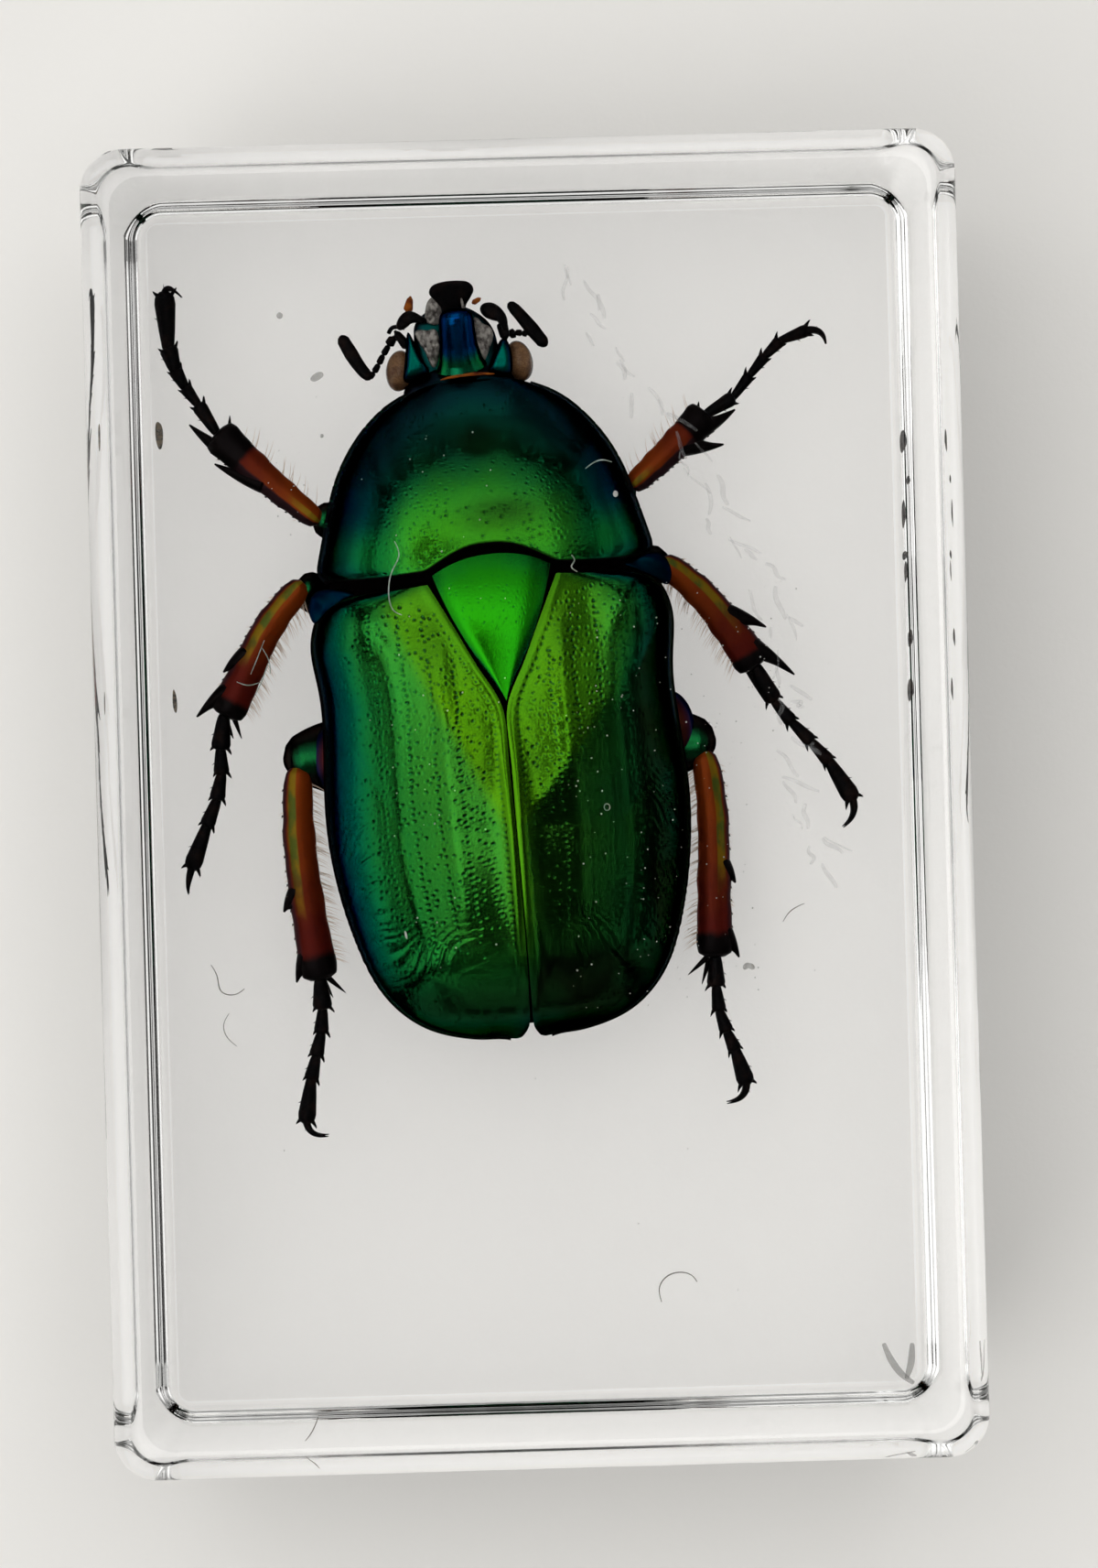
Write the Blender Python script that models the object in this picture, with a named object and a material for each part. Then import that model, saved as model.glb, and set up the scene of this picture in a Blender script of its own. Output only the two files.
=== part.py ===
"""Clear resin block that holds a flower beetle: the cast block as one rounded, drafted solid.

The block lies on its narrower face, +Z up, with its long side along +Y. The beetle lies inside it, parallel
to the big face, with its head towards +Y. It is sealed in solid resin, with no hollow around it, so the block
is one closed solid. Lengths are in metres.
"""

import math

import bmesh
import bpy
from mathutils import Vector

# Driving dimensions
LENGTH = 0.0600  # along +Y, at the widest level, just under the top face
WIDTH = 0.0395  # along +X, at the same level
THICKNESS = 0.0200  # along +Z
WALL_DRAFT = 0.0017  # how far each wall leans in, from its top rim down to its bottom rim
CORNER_RADIUS = 0.0019  # upright corners, in plan, at the widest level
CORNER_PINCH = 0.35  # how much of a level's inset comes off its corner radius
TOP_RIM = 0.0014  # rounding between the walls and the top face
BOTTOM_RIM = 0.0014  # rounding between the walls and the bottom face
CORNER_STEPS = 8  # flats around one upright corner
RIM_STEPS = 6  # flats over one rounded rim

POUR_LINE_DEPTH = 0.0048  # below the top face: where the first pour of resin ended
POUR_LINE_PROUD = 0.00012  # how far the line stands out of the wall
POUR_LINE_HALF = 0.00045  # half the height of the line's soft swell
SHARPEST_SMOOTH = math.radians(40)  # edges that turn less than this are shaded smooth

RESIN_COLOUR = (0.86, 0.87, 0.84, 0.28)
RESIN_ROUGHNESS = 0.06


def clear_scene():
    """Removes what the file holds, so that the block is all there is."""
    for thing in list(bpy.data.objects):
        bpy.data.objects.remove(thing, do_unlink=True)


def rounded_outline(half_x, half_y, radius):
    """Points of a rectangle with round corners, anticlockwise seen from above."""
    points = []
    for corner in range(4):
        start = corner * math.pi / 2
        side_x = 1 if corner in (0, 3) else -1
        side_y = 1 if corner in (0, 1) else -1
        centre = Vector((side_x * (half_x - radius), side_y * (half_y - radius)))
        for step in range(CORNER_STEPS + 1):
            angle = start + step / CORNER_STEPS * math.pi / 2
            points.append(centre + radius * Vector((math.cos(angle), math.sin(angle))))
    return points


def wall_inset(height):
    """How far the leaning wall stands inside the widest outline at this height."""
    top, bottom = THICKNESS - TOP_RIM, BOTTOM_RIM
    return WALL_DRAFT * (top - height) / (top - bottom)


def pour_swell(height):
    """How far the pour line's soft swell stands out of the wall at this height."""
    away = abs(height - (THICKNESS - POUR_LINE_DEPTH)) / POUR_LINE_HALF
    return POUR_LINE_PROUD * 0.5 * (1 + math.cos(math.pi * away)) if away < 1 else 0.0


def section_levels():
    """(height, inset) of each level, from the bottom face's edge up to the top face's edge."""
    levels = []
    quarter = [step / RIM_STEPS * math.pi / 2 for step in range(RIM_STEPS + 1)]
    for angle in quarter:
        height = BOTTOM_RIM * (1 - math.cos(angle))
        levels.append((height, wall_inset(BOTTOM_RIM) + BOTTOM_RIM * (1 - math.sin(angle))))
    line = THICKNESS - POUR_LINE_DEPTH
    for share in (-1.0, -0.5, 0.0, 0.5, 1.0):
        height = line + share * POUR_LINE_HALF
        levels.append((height, wall_inset(height) - pour_swell(height)))
    for angle in quarter:
        height = THICKNESS - TOP_RIM * (1 - math.sin(angle))
        levels.append((height, TOP_RIM * (1 - math.cos(angle))))
    return levels


def block_mesh():
    """The block as one closed mesh: a loop for each level, skinned, with a flat face at each end."""
    shape = bmesh.new()
    loops = []
    for height, inset in section_levels():
        radius = CORNER_RADIUS - CORNER_PINCH * inset
        outline = rounded_outline(WIDTH / 2 - inset, LENGTH / 2 - inset, radius)
        loops.append([shape.verts.new((point.x, point.y, height)) for point in outline])
    for lower, upper in zip(loops, loops[1:]):
        for i in range(len(lower)):
            j = (i + 1) % len(lower)
            shape.faces.new((lower[i], lower[j], upper[j], upper[i]))
    shape.faces.new(list(reversed(loops[0])))
    shape.faces.new(loops[-1])
    bmesh.ops.recalc_face_normals(shape, faces=shape.faces)
    mesh = bpy.data.meshes.new("resin_block")
    shape.to_mesh(mesh)
    shape.free()
    return mesh


def resin_material():
    """Clear casting resin, polished."""
    material = bpy.data.materials.new("clear_resin")
    material.use_nodes = True
    shader = material.node_tree.nodes["Principled BSDF"]
    shader.inputs["Base Color"].default_value = (*RESIN_COLOUR[:3], 1.0)
    shader.inputs["Alpha"].default_value = RESIN_COLOUR[3]
    shader.inputs["Roughness"].default_value = RESIN_ROUGHNESS
    shader.inputs["Metallic"].default_value = 0.0
    return material


def build():
    """Makes the block."""
    clear_scene()
    mesh = block_mesh()
    mesh.materials.append(resin_material())
    mesh.shade_smooth()
    mesh.set_sharp_from_angle(angle=SHARPEST_SMOOTH)
    block = bpy.data.objects.new("resin_block", mesh)
    bpy.context.scene.collection.objects.link(block)


build()
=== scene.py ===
"""The finished look of a horned flower beetle sealed in a block of clear resin.

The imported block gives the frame: it lies on its back face at z = 0, with +Z towards the big face that the
beetle is seen through, +Y towards the beetle's head and +X across. Shapes are worked out in millimetres and
stored in metres.
"""

import logging
import math
from dataclasses import dataclass, field
from enum import Enum
from typing import Callable, Iterable, Sequence

import bmesh
import bpy
import numpy as np
from mathutils import Euler, Matrix, Vector


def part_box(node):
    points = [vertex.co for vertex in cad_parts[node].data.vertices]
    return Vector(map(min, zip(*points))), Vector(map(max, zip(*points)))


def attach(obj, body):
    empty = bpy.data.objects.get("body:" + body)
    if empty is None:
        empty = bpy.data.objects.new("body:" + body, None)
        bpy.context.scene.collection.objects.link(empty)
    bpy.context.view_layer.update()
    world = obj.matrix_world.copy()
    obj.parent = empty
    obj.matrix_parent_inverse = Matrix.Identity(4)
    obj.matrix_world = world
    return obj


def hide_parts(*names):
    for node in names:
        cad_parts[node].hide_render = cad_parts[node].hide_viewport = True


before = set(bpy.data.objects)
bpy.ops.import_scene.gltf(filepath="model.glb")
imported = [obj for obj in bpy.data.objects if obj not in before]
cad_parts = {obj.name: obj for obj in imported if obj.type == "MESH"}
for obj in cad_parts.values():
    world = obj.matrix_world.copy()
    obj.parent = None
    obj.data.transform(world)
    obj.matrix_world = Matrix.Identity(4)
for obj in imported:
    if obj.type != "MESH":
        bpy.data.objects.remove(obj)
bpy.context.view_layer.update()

MM = 0.001
LOG = logging.getLogger("beetle_block")
Colour = tuple[float, float, float]
Point = tuple[float, float, float]


# --- Shader expressions ---


class Signal:
    """A number that varies over a surface, which Python's arithmetic turns into Math nodes."""

    def __init__(self, graph: "Graph", socket: bpy.types.NodeSocket) -> None:
        """Keeps the graph and the output socket.

        Args:
            graph: The node tree that the socket belongs to.
            socket: The output socket that carries the number.
        """
        self.graph = graph
        self.socket = socket

    def maths(self, operation: str, *operands: "Signal | float", clamp: bool = False) -> "Signal":
        """Adds one Math node.

        Args:
            operation: The Math node's operation.
            operands: Its inputs, in order.
            clamp: Whether the result is held between 0 and 1.

        Returns:
            The node's result.
        """
        settings = {"operation": operation, "use_clamp": clamp}
        made = self.graph.node("ShaderNodeMath", settings, dict(enumerate(operands)))
        return Signal(self.graph, made.outputs[0])

    def __add__(self, other: "Signal | float") -> "Signal":
        """Sum."""
        return self.maths("ADD", self, other)

    def __radd__(self, other: float) -> "Signal":
        """Sum with a number on the left."""
        return self.maths("ADD", other, self)

    def __sub__(self, other: "Signal | float") -> "Signal":
        """Difference."""
        return self.maths("SUBTRACT", self, other)

    def __rsub__(self, other: float) -> "Signal":
        """Difference from a number on the left."""
        return self.maths("SUBTRACT", other, self)

    def __mul__(self, other: "Signal | float") -> "Signal":
        """Product."""
        return self.maths("MULTIPLY", self, other)

    def __rmul__(self, other: float) -> "Signal":
        """Product with a number on the left."""
        return self.maths("MULTIPLY", other, self)

    def __truediv__(self, other: "Signal | float") -> "Signal":
        """Quotient."""
        return self.maths("DIVIDE", self, other)

    def __pow__(self, other: "Signal | float") -> "Signal":
        """Power."""
        return self.maths("POWER", self, other)

    def clamped(self) -> "Signal":
        """Held between 0 and 1."""
        return self.maths("ADD", self, 0.0, clamp=True)

    def rise(self, low: float, high: float) -> "Signal":
        """A soft step.

        Args:
            low: Where it leaves 0.
            high: Where it reaches 1; below low, the step falls instead.

        Returns:
            The step's value, from 0 to 1.
        """
        if high < low:
            return 1.0 - self.rise(high, low)
        settings = {"interpolation_type": "SMOOTHSTEP"}
        inputs = {"Value": self, "From Min": low, "From Max": high}
        return Signal(self.graph, self.graph.node("ShaderNodeMapRange", settings, inputs).outputs[0])


Input = Signal | bpy.types.NodeSocket | float | Sequence[float]


class Graph:
    """The node tree of one material or world."""

    def __init__(self, owner: bpy.types.Material | bpy.types.World) -> None:
        """Starts an empty tree.

        Args:
            owner: The material or world that the tree belongs to.
        """
        owner.use_nodes = True
        self.tree = owner.node_tree
        self.tree.nodes.clear()

    def node(self, kind: str, settings: dict | None = None, inputs: dict | None = None) -> bpy.types.Node:
        """Adds any node.

        Args:
            kind: The node's type name.
            settings: Its properties, set first; "stops" gives a ramp's (place, colour) pairs.
            inputs: Values or links for its sockets, by name or number.

        Returns:
            The node.
        """
        made = self.tree.nodes.new(kind)
        for name, value in (settings or {}).items():
            if name == "stops":
                self._set_stops(made.color_ramp, value)
            else:
                setattr(made, name, value)
        for key, value in (inputs or {}).items():
            self.feed(made.inputs[key], value)
        return made

    @staticmethod
    def _set_stops(ramp: bpy.types.ColorRamp, stops: Sequence[tuple[float, Sequence[float]]]) -> None:
        """Gives a colour ramp its stops.

        Args:
            ramp: The ramp.
            stops: Place and colour of each stop, in order.
        """
        while len(ramp.elements) < len(stops):
            ramp.elements.new(1.0)
        for element, (place, colour) in zip(ramp.elements, stops):
            element.position = place
            element.color = (*colour, 1.0)

    def feed(self, socket: bpy.types.NodeSocket, value: Input) -> None:
        """Links or sets one input socket.

        Args:
            socket: The input socket.
            value: A signal or socket to link, or a plain value to set.
        """
        if isinstance(value, Signal):
            self.tree.links.new(value.socket, socket)
        elif isinstance(value, bpy.types.NodeSocket):
            self.tree.links.new(value, socket)
        elif socket.type == "RGBA" and len(value) == 3:
            socket.default_value = (*value, 1.0)
        else:
            socket.default_value = value

    def signal(self, kind: str, settings: dict | None = None, inputs: dict | None = None,
               out: int | str = 0) -> Signal:
        """Adds a node and wraps one of its outputs.

        Args:
            kind: The node's type name.
            settings: Its properties.
            inputs: Values or links for its sockets.
            out: The output to wrap, by name or number.

        Returns:
            That output as a signal.
        """
        return Signal(self, self.node(kind, settings, inputs).outputs[out])

    def attribute(self, name: str) -> Signal:
        """A number painted on the mesh's points."""
        return self.signal("ShaderNodeAttribute", {"attribute_name": name}, out="Fac")

    def place(self) -> bpy.types.NodeSocket:
        """The piece's own coordinates, in metres."""
        return self.node("ShaderNodeTexCoord").outputs["Object"]

    def scaled(self, scales: Sequence[float]) -> bpy.types.NodeSocket:
        """The piece's own coordinates, each axis multiplied by its own scale."""
        inputs = {0: self.place(), 1: scales}
        return self.node("ShaderNodeVectorMath", {"operation": "MULTIPLY"}, inputs).outputs[0]

    def axis(self, vector: bpy.types.NodeSocket, name: str) -> Signal:
        """One axis of a vector, by its letter."""
        return self.signal("ShaderNodeSeparateXYZ", inputs={"Vector": vector}, out=name)

    def noise(self, scale: float, detail: float = 2.0, stretch: Sequence[float] = (1.0, 1.0, 1.0)) -> Signal:
        """Soft noise in the piece's own coordinates.

        Args:
            scale: Features per millimetre.
            detail: Octaves.
            stretch: How much finer the noise is along each axis.

        Returns:
            The noise, from 0 to 1.
        """
        inputs = {"Vector": self.scaled([s * scale / MM for s in stretch]), "Scale": 1.0, "Detail": detail}
        return self.signal("ShaderNodeTexNoise", inputs=inputs)

    def cells(self, scale: float) -> Signal:
        """Distance to the nearest of many scattered points, in cell widths.

        Args:
            scale: Cells per millimetre.

        Returns:
            The distance.
        """
        inputs = {"Vector": self.scaled([scale / MM] * 3), "Scale": 1.0}
        return self.signal("ShaderNodeTexVoronoi", inputs=inputs)

    def blend(self, factor: Input, first: Input, second: Input) -> bpy.types.NodeSocket:
        """Mixes two colours.

        Args:
            factor: How much of the second colour shows.
            first: The first colour.
            second: The second colour.

        Returns:
            The mixed colour.
        """
        settings = {"data_type": "RGBA", "clamp_factor": True}
        made = self.node("ShaderNodeMix", settings, {0: factor, 6: first, 7: second})
        return made.outputs[2]

    def ramp(self, factor: Input, stops: Sequence[tuple[float, Colour]]) -> bpy.types.NodeSocket:
        """A colour that follows a number.

        Args:
            factor: The number, from 0 to 1.
            stops: Place and colour of each stop.

        Returns:
            The colour.
        """
        settings = {"stops": stops}
        return self.node("ShaderNodeValToRGB", settings, {"Fac": factor}).outputs["Color"]

    def bump(self, height: Signal, depth: float) -> bpy.types.NodeSocket:
        """A normal roughened by a height.

        Args:
            height: The height, from 0 to 1.
            depth: What a height of 1 stands for, in millimetres.

        Returns:
            The normal.
        """
        inputs = {"Height": height, "Distance": depth * MM, "Strength": 1.0}
        return self.node("ShaderNodeBump", inputs=inputs).outputs["Normal"]

    def principled(self, **inputs: Input) -> bpy.types.Node:
        """Adds the surface shader and joins it to the output.

        Args:
            inputs: Values or links by socket name, with underscores for spaces.

        Returns:
            The shader node.
        """
        named = {name.replace("_", " "): value for name, value in inputs.items()}
        shader = self.node("ShaderNodeBsdfPrincipled", inputs=named)
        self.node("ShaderNodeOutputMaterial", inputs={"Surface": shader.outputs[0]})
        return shader


@dataclass(frozen=True)
class Finish:
    """One kind of surface. Each subclass says how its nodes are laid."""

    name: str
    slot: str

    def lay(self, graph: Graph) -> None:
        """Builds the nodes.

        Args:
            graph: The empty node tree.
        """
        raise NotImplementedError

    def material(self) -> bpy.types.Material:
        """The finished material, made once for each name.

        Returns:
            The material.
        """
        found = bpy.data.materials.get(self.name)
        if found is None:
            found = bpy.data.materials.new(self.name)
            self.lay(Graph(found))
        return found


# --- Mesh making ---


def step(value: np.ndarray | float, low: float, high: float) -> np.ndarray | float:
    """A soft step in plain numbers.

    Args:
        value: What is tested.
        low: Where the step leaves 0.
        high: Where it reaches 1.

    Returns:
        The step, from 0 to 1.
    """
    share = np.clip((value - low) / (high - low), 0.0, 1.0)
    return share * share * (3.0 - 2.0 * share)


def swell(value: np.ndarray | float, centre: float, half: float) -> np.ndarray | float:
    """A soft bump in plain numbers: 1 at the centre, 0 from half a width away."""
    return np.exp(-(((value - centre) / half) ** 2) * 2.0)


class Spline:
    """A natural cubic curve through given knots, in any number of dimensions."""

    def __init__(self, knots: Sequence[Sequence[float]], at: Sequence[float] | None = None) -> None:
        """Fits the curve.

        Args:
            knots: The points it passes through.
            at: Where along it each knot lies; left out, its share of the way along the knots' own path.
        """
        self.knots = np.asarray(knots, float)
        if self.knots.ndim == 1:
            self.knots = self.knots[:, None]
        if at is None:
            strides = np.linalg.norm(np.diff(self.knots, axis=0), axis=1)
            at = np.concatenate([[0.0], np.cumsum(strides)]) / strides.sum()
        self.at = np.asarray(at, float)
        gaps = np.diff(self.at)
        slopes = np.diff(self.knots, axis=0) / gaps[:, None]
        n = len(self.at)
        system = np.eye(n)
        known = np.zeros_like(self.knots)
        for i in range(1, n - 1):
            system[i, i - 1 : i + 2] = gaps[i - 1], 2 * (gaps[i - 1] + gaps[i]), gaps[i]
            known[i] = 6 * (slopes[i] - slopes[i - 1])
        self.bends = np.linalg.solve(system, known)

    def __call__(self, where: np.ndarray | float) -> np.ndarray:
        """Reads the curve.

        Args:
            where: Places along it, held between its two ends.

        Returns:
            One more dimension than where, for the curve's own, unless the curve has only one.
        """
        where = np.clip(np.asarray(where, float), self.at[0], self.at[-1])
        i = np.clip(np.searchsorted(self.at, where, side="right") - 1, 0, len(self.at) - 2)
        gap = (self.at[i + 1] - self.at[i])[..., None]
        b = (where - self.at[i])[..., None] / gap
        a = 1 - b
        value = a * self.knots[i] + b * self.knots[i + 1]
        value = value + ((a**3 - a) * self.bends[i] + (b**3 - b) * self.bends[i + 1]) * gap**2 / 6
        return value[..., 0] if value.shape[-1] == 1 else value

    def evenly(self, count: int) -> np.ndarray:
        """Places along the curve that are equally far apart.

        Args:
            count: How many steps to make.

        Returns:
            The places, one more than the steps.
        """
        fine = np.linspace(self.at[0], self.at[-1], 40 * len(self.at))
        strides = np.linalg.norm(np.diff(self(fine).reshape(len(fine), -1), axis=0), axis=1)
        way = np.concatenate([[0.0], np.cumsum(strides)])
        return np.interp(np.linspace(0, way[-1], count + 1), way, fine)


def profile(*knots: tuple[float, float]) -> Spline:
    """A smooth height over one direction.

    Args:
        knots: Place and height pairs, in rising order of place.

    Returns:
        The curve, read by place.
    """
    return Spline([height for _, height in knots], [place for place, _ in knots])


class Mould:
    """Collects the points and faces of one piece, in millimetres, and casts it as an object."""

    def __init__(self) -> None:
        """Starts empty."""
        self.points: list[np.ndarray] = []
        self.faces: list[tuple[int, ...]] = []
        self.painted: dict[str, list[np.ndarray]] = {}
        self.count = 0

    def add(self, points: np.ndarray, faces: Iterable[Sequence[int]], **painted: np.ndarray | float) -> None:
        """Adds some points and the faces between them.

        Args:
            points: One row for each point.
            faces: Point numbers of each face, counted from the first of these points.
            painted: Numbers painted on the points, by name, each an array or one value for all.
        """
        points = np.asarray(points, float).reshape(-1, 3)
        for name in painted:
            self.painted.setdefault(name, [np.zeros(self.count)] if self.count else [])
        for name, values in self.painted.items():
            values.append(np.zeros(len(points)) + np.asarray(painted.get(name, 0.0), float).reshape(-1))
        self.faces += [tuple(i + self.count for i in face) for face in faces]
        self.points.append(points)
        self.count += len(points)

    def sheet(self, rows: np.ndarray, closed: bool = False, caps: bool = False, **painted: np.ndarray) -> None:
        """Skins a grid of points.

        Args:
            rows: Points as (row, column, axis).
            closed: Whether the last column joins the first.
            caps: Whether a closed sheet's two ends are shut by a fan.
            painted: Numbers painted on the points, as (row, column).
        """
        n, m = rows.shape[:2]
        wide = m if closed else m - 1
        faces = [
            (i * m + j, i * m + (j + 1) % m, (i + 1) * m + (j + 1) % m, (i + 1) * m + j)
            for i in range(n - 1)
            for j in range(wide)
        ]
        points = rows.reshape(-1, 3)
        flat = {name: np.asarray(values, float).reshape(-1) for name, values in painted.items()}
        if caps:
            points = np.vstack([points, rows[0].mean(0), rows[-1].mean(0)])
            low, high = n * m, n * m + 1
            faces += [(low, (j + 1) % m, j) for j in range(m)]
            faces += [(high, (n - 1) * m + j, (n - 1) * m + (j + 1) % m) for j in range(m)]
            flat = {name: np.append(v, [v[:m].mean(), v[-m:].mean()]) for name, v in flat.items()}
        self.add(points, faces, **flat)

    def tube(self, spine: np.ndarray, across: np.ndarray, deep: np.ndarray,
             sides: int = 12, side: float = 1.0, **painted: np.ndarray) -> None:
        """Adds a closed limb of oval section along a curve.

        Args:
            spine: Points along its middle.
            across: Half its width at each point, level.
            deep: Half its thickness at each point.
            sides: Points around it.
            side: Which flank is painted as its outer one, seen along it: 1 for the right, -1 for the left.
            painted: Numbers painted along it, one for each point of the spine.
        """
        spine = np.asarray(spine, float)
        along = np.gradient(spine, axis=0)
        along /= np.linalg.norm(along, axis=1, keepdims=True)
        flank = np.cross(along, (0.0, 0.0, 1.0))
        flank /= np.linalg.norm(flank, axis=1, keepdims=True)
        crown = np.cross(flank, along)
        turn = np.arange(sides) * 2 * math.pi / sides
        across = np.broadcast_to(np.asarray(across, float), (len(spine),))
        deep = np.broadcast_to(np.asarray(deep, float), (len(spine),))
        ring = (
            spine[:, None]
            + flank[:, None] * (across[:, None] * np.cos(turn))[..., None]
            - crown[:, None] * (deep[:, None] * np.sin(turn))[..., None]
        )
        grown = {name: np.repeat(np.asarray(v, float)[:, None], sides, 1) for name, v in painted.items()}
        grown["side"] = np.repeat(side * np.cos(turn)[None], len(spine), 0)
        self.sheet(ring, closed=True, caps=True, **grown)

    def blob(self, spot: Point, size: Point, turn: float, sides: int = 28, rows: int = 16) -> None:
        """Adds a closed egg shape.

        Args:
            spot: Its middle.
            size: Its three half lengths.
            turn: How far it is turned about the upright axis, in degrees.
            sides: Points around it.
            rows: Points from end to end.
        """
        rise = np.linspace(-math.pi / 2, math.pi / 2, rows + 1)[1:-1, None]
        round_ = np.linspace(0, 2 * math.pi, sides, endpoint=False)[None]
        x, y, z = np.cos(rise) * np.cos(round_), np.cos(rise) * np.sin(round_), np.sin(rise) + 0 * round_
        angle = math.radians(turn)
        x, y = x * size[0], y * size[1]
        cos, sin = math.cos(angle), math.sin(angle)
        turned = np.stack([x * cos - y * sin, x * sin + y * cos, z * size[2]], axis=-1)
        self.sheet(turned + np.array(spot), closed=True, caps=True)

    def pillow(self, outline: Sequence[tuple[float, float]], thick: float, lift: Callable) -> None:
        """Adds a closed plate with a smooth outline and rounded faces.

        Args:
            outline: Points round its edge, seen from above.
            thick: Half its thickness.
            lift: Gives the height of its middle plane from x and y.
        """
        ring = np.array(outline, float)
        for _ in range(3):
            after = np.roll(ring, -1, 0)
            ring = np.stack([ring * 0.75 + after * 0.25, ring * 0.25 + after * 0.75], 1).reshape(-1, 2)
        middle = ring.mean(0)
        rise = np.linspace(-math.pi / 2, math.pi / 2, 25)[1:-1]
        rows = []
        for angle in rise:
            flat = middle + (ring - middle) * abs(math.cos(angle)) ** 0.55
            high = np.array([lift(x, y) for x, y in flat]) + thick * math.sin(angle)
            rows.append(np.column_stack([flat, high]))
        self.sheet(np.array(rows), closed=True, caps=True)

    def bone(self, near: Point, far: Point, first: float, last: float, sides: int = 12) -> None:
        """Adds a short joint, thicker in the middle.

        Args:
            near: One end.
            far: The other end.
            first: Its radius at the near end.
            last: Its radius at the far end.
            sides: Points around it.
        """
        t = np.linspace(-0.06, 1.06, 14)
        near, far = np.array(near), np.array(far)
        radius = (first + (last - first) * t) * np.sqrt(np.clip(1 - (2 * np.clip(t, 0, 1) - 1) ** 6, 0.12, 1))
        self.tube(near + (far - near) * t[:, None], radius, radius * 0.9, sides=sides)

    def spike(self, root: Point, tip: Point, radius: float, bend: Point | None = None, steps: int = 14,
              sides: int = 9) -> None:
        """Adds a spine, bristle or claw that thins to a point.

        Args:
            root: The middle of its foot.
            tip: Its point.
            radius: Its radius at the foot.
            bend: What it bends towards on its way.
            steps: Rings along it.
            sides: Points around it.
        """
        root, tip = np.array(root, float), np.array(tip, float)
        bend = (root + tip) / 2 if bend is None else np.array(bend, float)
        t = np.linspace(0, 1, steps)[:, None]
        spine = (1 - t) ** 2 * root + 2 * t * (1 - t) * bend + t**2 * tip
        thin = radius * (1 - t[:, 0] ** 1.4) + 0.12 * radius
        self.tube(spine, thin, thin, sides=sides, along=np.ones(steps))

    def cast(self, name: str, finish: Finish, smooth: bool = True) -> bpy.types.Object:
        """Makes the object.

        Args:
            name: The piece's name.
            finish: Its finish.
            smooth: Whether its faces are shaded smooth.

        Returns:
            The object, at the origin, in metres.
        """
        mesh = bpy.data.meshes.new(name)
        mesh.from_pydata((np.vstack(self.points) * MM).tolist(), [], self.faces)
        for label, values in self.painted.items():
            layer = mesh.attributes.new(label, "FLOAT", "POINT")
            layer.data.foreach_set("value", np.concatenate(values).astype(np.float32))
        outward = bmesh.new()
        outward.from_mesh(mesh)
        bmesh.ops.recalc_face_normals(outward, faces=outward.faces)
        outward.to_mesh(mesh)
        outward.free()
        if "lean" not in self.painted:
            normals = np.zeros(len(mesh.vertices) * 3, np.float32)
            mesh.vertices.foreach_get("normal", normals)
            lean = np.arccos(np.clip(np.abs(normals[2::3]), 0, 1)) / (math.pi / 2)
            mesh.attributes.new("lean", "FLOAT", "POINT").data.foreach_set("value", lean)
        mesh.materials.append(finish.material())
        if smooth:
            mesh.shade_smooth()
        made = bpy.data.objects.new(name, mesh)
        bpy.context.scene.collection.objects.link(made)
        return made


def settle(piece: bpy.types.Object, place: Matrix | None = None) -> bpy.types.Object:
    """Puts a finished piece in its place on the block.

    Args:
        piece: The piece.
        place: Where it goes, if it isn't already there.

    Returns:
        The piece.
    """
    if place is not None:
        piece.matrix_world = place
    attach(piece, "root")
    LOG.info("%s: %d faces", piece.name, len(piece.data.polygons))
    return piece


# --- The resin block ---


@dataclass(frozen=True)
class ClearResin(Finish):
    """Clear casting resin: refracts, tints a little with depth, and is polished."""

    name: str = "clear_resin"
    slot: str = "resin"
    refraction: float = 1.54
    tint: Colour = (0.93, 0.95, 0.93)
    strength: float = 4.0

    def lay(self, graph: Graph) -> None:
        """Builds the nodes.

        Args:
            graph: The empty node tree.
        """
        clear = {"Base Color": (1.0, 1.0, 1.0), "Roughness": 0.0, "IOR": self.refraction}
        shader = graph.node("ShaderNodeBsdfPrincipled", inputs=clear | {"Transmission Weight": 1.0})
        inside = graph.node("ShaderNodeVolumeAbsorption", inputs={"Color": self.tint, "Density": self.strength})
        graph.node("ShaderNodeOutputMaterial", inputs={"Surface": shader.outputs[0], "Volume": inside.outputs[0]})


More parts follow.
